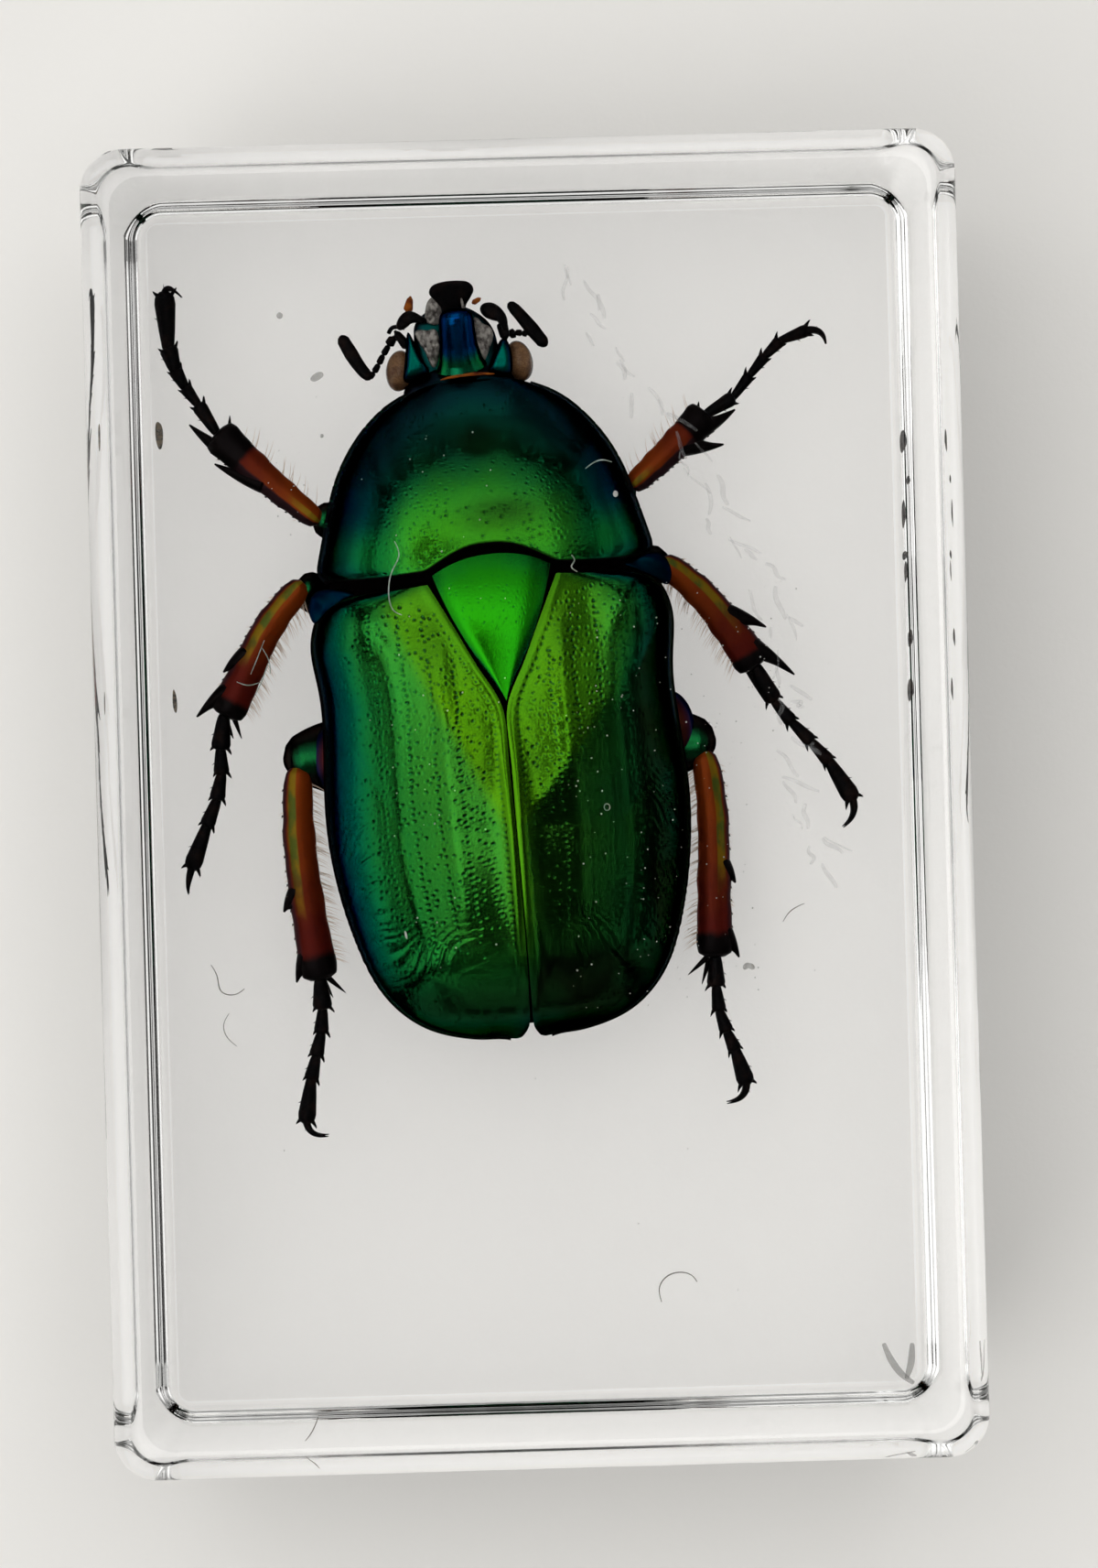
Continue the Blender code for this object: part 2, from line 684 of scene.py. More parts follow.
@dataclass
class ResinBlock:
    """The cast block: wide front face, walls that lean in towards the back, rounded rims and corners."""

    draft: float = 1.7
    corner: float = 1.9
    back_corner: float = 1.5
    corner_pinch: float = 0.35
    front_rim: float = 1.4
    back_rim: float = 0.75
    line_depth: float = 4.8
    line_proud: float = 0.12
    line_half: float = 0.45
    corner_steps: int = 14
    side_steps: int = 56
    end_steps: int = 38
    rim_steps: int = 14
    wall_steps: int = 40
    face_rings: int = 16

    def __post_init__(self) -> None:
        """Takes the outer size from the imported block."""
        low, high = (np.array(corner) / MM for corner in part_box("resin_block"))
        self.half_x, self.half_y = (high - low)[:2] / 2
        self.height = float(high[2] - low[2])

    def outline(self, inset: float, radius: float) -> np.ndarray:
        """The block's outline at one level.

        Args:
            inset: How far this level stands inside the widest one.
            radius: Radius of its four corners.

        Returns:
            Points around it, anticlockwise from above, with straight stretches cut into short steps.
        """
        x, y = self.half_x - inset, self.half_y - inset
        points: list[tuple[float, float]] = []
        steps = (self.end_steps, self.side_steps, self.end_steps, self.side_steps)
        for number, (side_x, side_y) in enumerate(((1, 1), (-1, 1), (-1, -1), (1, -1))):
            middle = np.array((side_x * (x - radius), side_y * (y - radius)))
            for k in range(self.corner_steps + 1):
                angle = (number + k / self.corner_steps) * math.pi / 2
                points.append(tuple(middle + radius * np.array((math.cos(angle), math.sin(angle)))))
            ahead = np.array(((-1, 1), (-1, -1), (1, -1), (1, 1))[number]) * (x - radius, y - radius)
            angle = (number + 1) * math.pi / 2
            start, end = np.array(points[-1]), ahead + radius * np.array((math.cos(angle), math.sin(angle)))
            points += [tuple(start + (end - start) * k / steps[number]) for k in range(1, steps[number])]
        return np.array(points)

    def wall_inset(self, height: float) -> float:
        """How far the leaning wall stands inside the widest outline.

        Args:
            height: Height over the back face.

        Returns:
            The distance.
        """
        top, bottom = self.height - self.front_rim, self.back_rim
        lean = self.draft * (top - height) / (top - bottom)
        away = abs(height - (self.height - self.line_depth)) / self.line_half
        proud = self.line_proud * 0.5 * (1 + math.cos(math.pi * away)) if away < 1 else 0.0
        return lean - proud

    def levels(self) -> list[tuple[float, float, float]]:
        """Lists the block's levels, from the back face's edge to the front face's edge.

        Returns:
            Height, inset and corner radius of each level.
        """
        quarter = np.linspace(0, math.pi / 2, self.rim_steps + 1)
        bottom = self.wall_inset(self.back_rim)
        rows = []
        for a in quarter:
            rise, run = self.back_rim * (1 - math.cos(a)), self.back_rim * (1 - math.sin(a))
            rows.append((rise, bottom + run, self.back_corner * (1 - 0.7 * run / self.back_rim)))
        for h in np.linspace(self.back_rim, self.height - self.front_rim, self.wall_steps + 2)[1:-1]:
            share = (h - self.back_rim) / (self.height - self.front_rim - self.back_rim)
            rows.append((h, self.wall_inset(h), self.back_corner + (self.corner - self.back_corner) * share))
        for a in quarter:
            drop, run = self.front_rim * (1 - math.sin(a)), self.front_rim * (1 - math.cos(a))
            rows.append((self.height - drop, run, self.corner - self.corner_pinch * run))
        return rows

    def build(self) -> bpy.types.Object:
        """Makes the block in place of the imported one.

        Returns:
            The block.
        """
        rows = []
        for height, inset, radius in self.levels():
            outline = self.outline(inset, radius)
            rows.append(np.column_stack([outline, np.full(len(outline), height)]))
        shares = np.linspace(1.0, 0.0, self.face_rings + 1)[1:-1]
        back = [rows[0] * (s, s, 1.0) for s in shares[::-1]]
        front = [rows[-1] * (s, s, 1.0) for s in shares]
        mould = Mould()
        mould.sheet(np.array(back + rows + front), closed=True, caps=True)
        finish = ClearResin()
        block = mould.cast("resin_block_clear", finish)
        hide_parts("resin_block")
        return settle(block)


# --- The beetle's finishes ---


class Shade(Enum):
    """How the structural colour runs from faces that lie flat to faces that stand upright."""

    WING_CASE = "wing_case"
    PRONOTUM = "pronotum"
    SCUTELLUM = "scutellum"
    HORN = "horn"
    CHEEK = "cheek"
    SKULL = "skull"
    THIGH = "thigh"
    COPPER = "copper"
    SHOULDER = "shoulder"
    UNDERSIDE = "underside"


SHADE_STOPS: dict[Shade, tuple[tuple[float, Colour], ...]] = {
    Shade.WING_CASE: (
        (0.0, (0.05, 0.16, 0.002)), (0.12, (0.034, 0.15, 0.005)), (0.25, (0.014, 0.128, 0.014)),
        (0.38, (0.003, 0.1, 0.03)), (0.5, (0.0, 0.07, 0.05)), (0.66, (0.0, 0.04, 0.055)),
        (0.8, (0.0, 0.01, 0.022)), (0.92, (0.001, 0.002, 0.004)),
    ),
    Shade.PRONOTUM: (
        (0.0, (0.022, 0.15, 0.005)), (0.1, (0.012, 0.125, 0.01)), (0.19, (0.004, 0.09, 0.022)),
        (0.28, (0.0, 0.058, 0.038)), (0.38, (0.0, 0.03, 0.038)), (0.5, (0.001, 0.01, 0.026)),
        (0.66, (0.002, 0.004, 0.01)), (0.82, (0.003, 0.002, 0.005)),
    ),
    Shade.SCUTELLUM: (
        (0.0, (0.012, 0.205, 0.002)), (0.14, (0.008, 0.175, 0.004)), (0.3, (0.0, 0.085, 0.025)),
        (0.6, (0.0, 0.01, 0.012)),
    ),
    Shade.HORN: (
        (0.0, (0.003, 0.03, 0.17)), (0.2, (0.0, 0.045, 0.15)), (0.4, (0.0, 0.014, 0.07)),
        (0.62, (0.002, 0.003, 0.012)),
    ),
    Shade.CHEEK: (
        (0.0, (0.0, 0.075, 0.05)), (0.2, (0.0, 0.06, 0.05)), (0.36, (0.0, 0.018, 0.045)),
        (0.6, (0.001, 0.002, 0.006)),
    ),
    Shade.SKULL: (
        (0.0, (0.0, 0.035, 0.03)), (0.3, (0.004, 0.012, 0.02)), (0.7, (0.008, 0.006, 0.01)),
    ),
    Shade.THIGH: (
        (0.0, (0.006, 0.12, 0.028)), (0.14, (0.003, 0.05, 0.016)), (0.28, (0.004, 0.005, 0.004)),
        (0.6, (0.012, 0.006, 0.005)),
    ),
    Shade.COPPER: (
        (0.0, (0.075, 0.022, 0.006)), (0.25, (0.05, 0.01, 0.01)), (0.5, (0.006, 0.008, 0.035)),
        (0.8, (0.002, 0.002, 0.006)),
    ),
    Shade.SHOULDER: (
        (0.0, (0.0, 0.01, 0.015)), (0.3, (0.0, 0.006, 0.022)), (0.6, (0.001, 0.003, 0.01)),
    ),
    Shade.UNDERSIDE: (
        (0.0, (0.015, 0.11, 0.04)), (0.25, (0.01, 0.05, 0.03)), (0.5, (0.02, 0.012, 0.01)),
        (0.85, (0.012, 0.006, 0.008)),
    ),
}


@dataclass(frozen=True)
class Cuticle(Finish):
    """Metallic beetle cuticle whose colour turns from green to blue-black as it leans away."""

    name: str = "cuticle"
    slot: str = "cuticle"
    shade: Shade = Shade.WING_CASE
    roughness: float = 0.17
    grain: float = 9.0

    def lay(self, graph: Graph) -> None:
        """Builds the nodes.

        Args:
            graph: The empty node tree.
        """
        cloud = graph.noise(0.35, 3.0)
        speckle = graph.noise(self.grain, 2.0)
        lean = graph.attribute("lean")
        tone = lean + (cloud - 0.5) * 0.16 + (speckle - 0.5) * 0.05
        colour = graph.ramp(tone.clamped(), SHADE_STOPS[self.shade])
        pit = graph.attribute("pit").rise(0.15, 0.9)
        # Pits are painted a darker green: painted shade in the hollows.
        colour = graph.blend(pit * 0.75, colour, (0.0, 0.05, 0.02))
        colour = graph.blend(graph.attribute("green"), colour, (0.004, 0.13, 0.022))
        # Painted shade: the value that the plates paint here darkens the colour towards near-black, standing in for
        # shadows and dark reflections.
        dusk = graph.attribute("dusk") * (0.75 + cloud * 0.5)
        colour = graph.blend(dusk.clamped(), colour, (0.004, 0.01, 0.003))
        # The rim value paints near-black: the plates' own black margins, and painted shade on their inner faces and
        # on the trunk's top, seen through the gaps between plates.
        rim = graph.attribute("rim").rise(0.35, 1.0)
        colour = graph.blend(rim, colour, (0.0022, 0.0012, 0.0016))
        fine = graph.cells(self.grain).rise(0.0, 0.45)
        relief = fine * 0.6 + speckle * 0.4
        rough = self.roughness + (speckle - 0.5) * 0.06 + pit * 0.1
        graph.principled(
            Base_Color=colour,
            Metallic=(1.0 - rim) * (1.0 - lean.rise(0.74, 0.94)),
            Roughness=rough,
            Specular_IOR_Level=0.0,
            Specular_Tint=(0.25, 0.3, 0.35, 1.0),
            Normal=graph.bump(relief, 0.0025),
        )


@dataclass(frozen=True)
class DarkChitin(Finish):
    """Black-brown glossy chitin of spines, feet, feelers and seams."""

    name: str = "dark_chitin"
    slot: str = "dark_chitin"
    colour: Colour = (0.0032, 0.003, 0.0035)
    warm: Colour = (0.011, 0.006, 0.005)

    def lay(self, graph: Graph) -> None:
        """Builds the nodes.

        Args:
            graph: The empty node tree.
        """
        patch = graph.noise(1.6, 3.0)
        grain = graph.noise(14.0, 2.0)
        graph.principled(
            Base_Color=graph.blend(patch.rise(0.45, 0.75), self.colour, self.warm),
            Roughness=0.28 + (grain - 0.5) * 0.2,
            Specular_IOR_Level=0.02,
            Normal=graph.bump(grain, 0.006),
        )


# --- Plates of the back ---

BEETLE_SPOT = (-1.89, 11.11, 9.6)
BEETLE_TURN = 4.9
BEETLE_ROLL = 3.0
WING_TURN = -1.0
PRONOTUM_TURN = -1.5


def beetle_place(turn: float = 0.0) -> Matrix:
    """Where the beetle's own frame lies in the block.

    Args:
        turn: A further turn about the beetle's upright axis, in degrees.

    Returns:
        The placement, for pieces in metres with +Y towards the head.
    """
    angles = Euler((0.0, math.radians(BEETLE_ROLL), math.radians(BEETLE_TURN + turn)), "XYZ")
    return Matrix.Translation(Vector(BEETLE_SPOT) * MM) @ angles.to_matrix().to_4x4()


def dome(share: np.ndarray, flatness: float = 2.6, fullness: float = 2.0) -> np.ndarray:
    """Height of the back over one side of the body.

    Args:
        share: Distance from the midline, where 1 is the edge.
        flatness: How far out the flat of the back runs.
        fullness: How upright the sides are.

    Returns:
        The height, from 1 on the midline to 0 at the edge.
    """
    return np.clip(1.0 - np.clip(share, 0.0, 1.0) ** flatness, 0.0, 1.0) ** (1.0 / fullness)


def way_over(half: float, tall: float, flatness: float, count: int) -> tuple[np.ndarray, np.ndarray]:
    """Measures the way over a domed back, for columns that are spread evenly over it.

    Args:
        half: Half the width of the back.
        tall: Its height.
        flatness: How far out the flat of the back runs.
        count: How many places are measured.

    Returns:
        The places, as shares of the half width, and the share of the way at which each is reached.
    """
    across = np.linspace(0, 1, count) ** 0.5
    bow = np.column_stack([half * across, tall * dome(across, flatness)])
    way = np.concatenate([[0.0], np.cumsum(np.linalg.norm(np.diff(bow, axis=0), axis=1))])
    return across, way / way[-1]


@dataclass
class Plate:
    """A plate of cuticle: a fine, pitted outer face, closed by a plain inner one."""

    rows: int = 200
    columns: int = 120
    thickness: float = 0.35
    pit_cell: float = 0.5

    def surface(self, u: np.ndarray, t: np.ndarray) -> np.ndarray:
        """The outer face without its relief.

        Args:
            u: Place across the plate, from 0 to 1.
            t: Place along it, from 0 to 1.

        Returns:
            Points, in millimetres, in the beetle's frame.
        """
        raise NotImplementedError

    def relief(self, u: np.ndarray, t: np.ndarray, points: np.ndarray) -> np.ndarray:
        """How far the outer face stands out of its plain shape, in millimetres."""
        return np.zeros(u.shape)

    def pits(self) -> np.ndarray:
        """Places and radii of the pits, as (x, y, radius) rows in the beetle's frame."""
        return np.zeros((0, 3))

    def paint(self, u: np.ndarray, t: np.ndarray, points: np.ndarray) -> dict[str, np.ndarray]:
        """Numbers that the finish reads, by name."""
        return {}

    @staticmethod
    def normals(points: np.ndarray) -> np.ndarray:
        """Which way each point of a grid faces.

        Args:
            points: The grid, as (row, column, axis).

        Returns:
            Unit normals, pointing up.
        """
        across = np.gradient(points, axis=1)
        along = np.gradient(points, axis=0)
        normal = np.cross(across, along)
        normal /= np.maximum(np.linalg.norm(normal, axis=2, keepdims=True), 1e-12)
        middle = normal[normal.shape[0] // 2, normal.shape[1] // 2]
        return normal * (1.0 if middle[2] > 0 else -1.0)

    def press(self, points: np.ndarray) -> tuple[np.ndarray, np.ndarray]:
        """Presses the pits into a grid of points.

        Args:
            points: The grid, as (row, column, axis).

        Returns:
            The depth of each point, in millimetres, and how far inside a pit it is, from 0 to 1.
        """
        depth = np.zeros(points.shape[:2])
        mask = np.zeros(points.shape[:2])
        flat = points[..., :2].reshape(-1, 2)
        cell = self.pit_cell
        keys = np.floor(flat / cell).astype(int)
        order = np.lexsort((keys[:, 1], keys[:, 0]))
        buckets: dict[tuple[int, int], np.ndarray] = {}
        edges = np.flatnonzero(np.any(np.diff(keys[order], axis=0) != 0, axis=1)) + 1
        for group in np.split(order, edges):
            buckets[tuple(keys[group[0]])] = group
        for x, y, radius in self.pits():
            home = (math.floor(x / cell), math.floor(y / cell))
            around = [(home[0] + i, home[1] + j) for i in (-1, 0, 1) for j in (-1, 0, 1)]
            near = [buckets[key] for key in around if key in buckets]
            if not near:
                continue
            near = np.concatenate(near)
            away = np.linalg.norm(flat[near] - (x, y), axis=1) / radius
            bowl = np.clip(1.0 - away**2, 0.0, None) ** 1.5
            lip = np.exp(-(((away - 1.15) / 0.3) ** 2)) * 0.12
            hit = near[away < 1.9]
            bowl, lip = bowl[away < 1.9], lip[away < 1.9]
            spot = np.unravel_index(hit, depth.shape)
            depth[spot] += radius * (0.38 * bowl - lip)
            mask[spot] = np.maximum(mask[spot], bowl)
        return depth, mask

    def mould(self) -> Mould:
        """Makes the closed plate.

        Returns:
            Its points and faces, with lean, pit and rim painted on.
        """
        u, t = np.meshgrid(np.linspace(0, 1, self.columns + 1), np.linspace(0, 1, self.rows + 1))
        plain = self.surface(u, t)
        normal = self.normals(plain)
        depth, pit = self.press(plain)
        points = plain + normal * (self.relief(u, t, plain) - depth)[..., None]
        roll = math.radians(BEETLE_ROLL)
        upright = normal[..., 2] * math.cos(roll) - normal[..., 0] * math.sin(roll)
        painted = {"lean": np.arccos(np.clip(upright, -1, 1)) / (math.pi / 2), "pit": pit}
        painted |= self.paint(u, t, plain)
        mould = Mould()
        mould.sheet(points, **painted)
        edge = np.concatenate([
            np.column_stack([u[0, :-1], t[0, :-1]]),
            np.column_stack([u[:-1, -1], t[:-1, -1]]),
            np.column_stack([u[-1, :0:-1], t[-1, :0:-1]]),
            np.column_stack([u[:0:-1, 0], t[:0:-1, 0]]),
        ])
        rim = np.concatenate([points[0, :-1], points[:-1, -1], points[-1, :0:-1], points[:0:-1, 0]])
        rings = [rim]
        for share in (0.985, 0.93, 0.8, 0.6, 0.35, 0.12):
            at = 0.5 + (edge - 0.5) * share
            spots = self.surface(at[:, 0][None], at[:, 1][None])[0]
            nudge = 1e-3
            du = self.surface(at[:, 0][None] + nudge, at[:, 1][None])[0] - spots
            dt = self.surface(at[:, 0][None], at[:, 1][None] + nudge)[0] - spots
            down = np.cross(du, dt)
            down /= np.maximum(np.linalg.norm(down, axis=1, keepdims=True), 1e-12)
            down *= -np.sign(down[:, 2:] + 1e-9)
            rings.append(spots + down * self.thickness)
        count = len(rim)
        inner = np.array(rings)
        # The inner face is painted near-black with the rim value: painted shade under the plate, seen at its edges
        # and in the gaps.
        mould.sheet(inner, closed=True, rim=np.ones(inner.shape[:2]), lean=np.ones(inner.shape[:2]))
        last = mould.count - count
        mould.add(inner[-1].mean(0)[None], [], rim=1.0, lean=1.0)
        mould.faces += [(last + j, last + (j + 1) % count, last + count) for j in range(count)]
        return mould


def scattered(seed: int, box: tuple[float, float, float, float], spacing: float) -> np.ndarray:
    """Points scattered evenly but without order over a rectangle.

    Args:
        seed: Picks the pattern.
        box: Lowest x, lowest y, highest x and highest y.
        spacing: Their usual distance.

    Returns:
        One row for each point.
    """
    draw = np.random.default_rng(seed)
    xs = np.arange(box[0], box[2], spacing)
    ys = np.arange(box[1], box[3], spacing * 0.87)
    grid = np.array([(x + (j % 2) * spacing / 2, y) for j, y in enumerate(ys) for x in xs])
    return grid + draw.uniform(-0.38, 0.38, grid.shape) * spacing


@dataclass
class WingCase(Plate):
    """One wing case. Side is -1 for the left one and 1 for the right one."""

    side: int = 1
    rows: int = 360
    columns: int = 150
    crown: tuple[tuple[float, float], ...] = (
        (-21.9, 0.1), (-21.3, 1.1), (-20.2, 2.1), (-18.5, 2.95), (-16.0, 3.6), (-12.5, 4.05), (-8.5, 4.2),
        (-5.0, 4.1), (-2.0, 3.8), (-0.5, 3.6),
    )
    sill: tuple[tuple[float, float], ...] = (
        (-21.9, 0.0), (-20.0, -0.55), (-17.0, -0.9), (-12.0, -1.0), (-7.0, -0.7), (-3.0, -0.2), (-0.8, 0.6),
    )
    inner_line: tuple[tuple[float, float], ...] = (
        (2.95, -0.85), (2.7, -1.35), (2.38, -2.0), (1.66, -3.5), (0.88, -5.1), (0.16, -6.55), (0.04, -8.4),
        (0.03, -11.3), (0.03, -14.5), (0.03, -17.3), (0.04, -19.4), (0.06, -20.6), (0.14, -21.4), (0.42, -21.8),
    )
    outer_line: tuple[tuple[float, float], ...] = (
        (6.6, -1.1), (7.65, -1.55), (8.15, -2.4), (8.28, -3.8), (8.1, -5.3), (8.08, -6.8), (8.2, -8.6),
        (8.33, -11.3), (8.05, -14.4), (7.35, -17.3), (6.25, -19.6), (4.65, -21.0), (2.6, -21.65), (0.95, -21.88),
    )
    # For each side: how steeply the flank folds down, how fast the fold nears the seam and where it ends.
    folds: dict[int, tuple[float, float, float]] = field(
        default_factory=lambda: {1: (0.12, 0.85, 12.5), -1: (0.08, 0.445, 12.8)})
    fold_soft: float = 0.16
    pit_gap: float = 0.22

    def __post_init__(self) -> None:
        """Fits the curves that shape the case."""
        pairs = [a + b for a, b in zip(self.inner_line, self.outer_line)]
        self.edges = Spline(pairs)
        self.track = self.edges.evenly(400)
        self.height = profile(*self.crown)
        self.base = profile(*self.sill)
        self.across, self.way = way_over(8.2, 4.9, 3.3, 800)

    def share_out(self, u: np.ndarray, start: np.ndarray) -> np.ndarray:
        """Spreads the columns evenly over the curved back.

        Args:
            u: Place across the case, from 0 at its inner edge to 1 at its outer edge.
            start: Where the inner edge lies, as a share of the body's half width.

        Returns:
            Distance from the midline, as a share of the half width.
        """
        first = np.interp(start, self.across, self.way)
        return np.interp(first + (1 - first) * u, self.way, self.across)

    def surface(self, u: np.ndarray, t: np.ndarray) -> np.ndarray:
        """The outer face without its relief.

        Args:
            u: Place across it, from 0 to 1.
            t: Place along it, from 0 to 1.

        Returns:
            Points, in millimetres, in the beetle's frame.
        """
        at = self.edges(np.interp(t, np.linspace(0, 1, len(self.track)), self.track))
        xi, yi, xo, yo = (at[..., k] for k in range(4))
        share = self.share_out(np.clip(u, 0, 1), np.clip(xi / xo, 0, 1))
        along = np.clip((share * xo - xi) / np.maximum(xo - xi, 1e-6), 0, 1)
        x = share * xo
        y = yi + (yo - yi) * along
        low = self.base(yo)
        z = low + (self.height(y) - low) * dome(share, 3.0 + 1.7 * step(y, -12.0, -3.0))
        slope, rate, tip = self.folds[self.side]
        past = x - np.maximum((y + tip) * rate, 0.25)
        soft = self.fold_soft
        z = z - slope * np.log1p(np.exp(np.clip(past / soft, -30, 30))) * soft * (1 - share**6)
        return np.stack([self.side * x, y, z], axis=-1)

    def relief(self, u: np.ndarray, t: np.ndarray, points: np.ndarray) -> np.ndarray:
        """Raised seam, two low ribs, shoulder and tail knobs, dips, wrinkles and the rim bead.

        Args:
            u: Place across it, from 0 to 1.
            t: Place along it, from 0 to 1.
            points: The plain shape's points.

        Returns:
            How far the face stands out at each.
        """
        x, y = np.abs(points[..., 0]), points[..., 1]
        edge = self.edges(np.interp(t, np.linspace(0, 1, len(self.track)), self.track))
        share = x / edge[..., 2]
        inner = x - edge[..., 0]
        back = step(-y, 6.0, 11.0)
        seam = swell(inner, 0.22, 0.34) * (0.03 + 0.045 * back)
        dip = -swell(inner, 1.1, 1.0) * 0.07 * back
        fade = step(-y, 2.0, 4.5) * (1 - step(-y, 15.5, 18.5))
        ribs = (swell(share, 0.34, 0.085) + swell(share, 0.63, 0.08)) * 0.07 * fade
        shoulder = swell(x, 6.1, 1.5) * swell(y, -2.4, 1.5) * 0.3
        knob = swell(x, 4.3, 1.5) * swell(y, -18.4, 1.4) * 0.26
        front = -swell(x, 4.4, 1.3) * swell(y, -2.4, 1.9) * 0.1
        bead = swell(u, 1.0, 0.022) * 0.1
        skew = y * 0.8 + x * 0.62 + 0.35 * np.sin(x * 1.7 + self.side) + 0.2 * np.sin(y * 2.3)
        creases = np.sin(skew * 2 * math.pi / 0.42) * 0.5 + np.sin(skew * 2 * math.pi / 0.27 + x * 3) * 0.3
        flank = swell(x, 7.3, 1.3) * step(-y, 8.0, 12.0) * (1 - step(-y, 18.5, 20.5))
        tail = swell(y, -17.6, 1.4) * step(x, 1.2, 2.4) * (1 - step(x, 5.5, 7.0))
        wrinkles = creases * (flank + tail) * 0.026
        return seam + dip + ribs + shoulder + knob + front + bead + wrinkles

    def pits(self) -> np.ndarray:
        """Rows of pits beside the seam and ribs, with scattered ones between.

        Returns:
            Their x, y and radius.
        """
        draw = np.random.default_rng(40 + self.side)
        found: list[tuple[float, float, float]] = []

        def drop(x: float, y: float, radius: float) -> None:
            """Adds a pit unless it crowds another."""
            if all((x - a) ** 2 + (y - b) ** 2 > self.pit_gap**2 for a, b, _ in found[-400:]):
                found.append((x, y, radius))

        for y in np.arange(-2.2, -20.6, -0.3):
            at = self.edges(np.interp(y, *self._by_height()))
            near, far = at[0], at[2]
            drop(near + 0.52 + draw.uniform(-0.03, 0.03), y + draw.uniform(-0.05, 0.05), 0.085)
            for share in (0.27, 0.41, 0.55, 0.7):
                if share * far > near + 0.8 and y > -17.5:
                    drop(share * far + draw.uniform(-0.05, 0.05), y + draw.uniform(-0.07, 0.07), 0.095)
        for x, y in scattered(7 + self.side, (0.4, -20.8, 8.2, -1.4), 0.4):
            at = self.edges(np.interp(y, *self._by_height()))
            if at[0] + 0.75 < x < at[2] * 0.93:
                drop(x, y, draw.uniform(0.06, 0.105))
        pits = np.array(found)
        pits[:, 0] *= self.side
        return pits

    def _by_height(self) -> tuple[np.ndarray, np.ndarray]:
        """Rising y of the inner line and the place along the edges that each belongs to."""
        ys = self.edges(self.track)[:, 1]
        return ys[::-1], self.track[::-1]

    def paint(self, u: np.ndarray, t: np.ndarray, points: np.ndarray) -> dict[str, np.ndarray]:
        """The dark rim and front corner, the green of the flank, and painted shade: soft dark patches, a painted
        shadow down the flank and painted dark reflections over the tail and past the right fold.

        Args:
            u: Place across it, from 0 to 1.
            t: Place along it, from 0 to 1.
            points: The plain shape's points.

        Returns:
            Numbers that the finish reads, by name.
        """
        x, y = np.abs(points[..., 0]), points[..., 1]
        rim = step(u, 0.955, 0.99) + step(t, 0.965, 0.99) * step(u, 0.1, 0.5) * 0.8
        # Painted shade: cloud paints soft dark patches, shadow a painted shadow down the outer flank and tail a
        # painted dark reflection over the rear; corner darkens the front corner.
        corner = step(x + 0.5 * (y + 2.2), 6.9, 7.7) * step(y, -6.0, -4.0)
        cloud = swell(x, 3.1, 1.0) * swell(y, -3.9, 2.6) * 0.3 + swell(x, 1.0, 0.8) * swell(y, -9.4, 1.5) * 0.25
        shadow = step(x, 5.2, 7.8) * 0.95 if self.side > 0 else step(x, 7.2, 8.2) * 0.25
        tail = step(-y, 17.2, 20.2) * 0.8
        _, rate, tip = self.folds[self.side]
        past = step(x - np.maximum((y + tip) * rate, 0.25), -0.2, 0.7)
        # Past the fold, the right case gets a painted dark reflection (deep) and the left one a greener tone
        # (pure).
        deep, pure = (0.62, 0.25) if self.side > 0 else (0.0, 0.5)
        dusk = np.clip(cloud + 0.9 * corner + shadow + tail + past * deep, 0, 0.95)
        return {"rim": np.clip(rim, 0, 1), "dusk": dusk, "green": past * pure * (1 - step(x, 5.5, 7.5))}


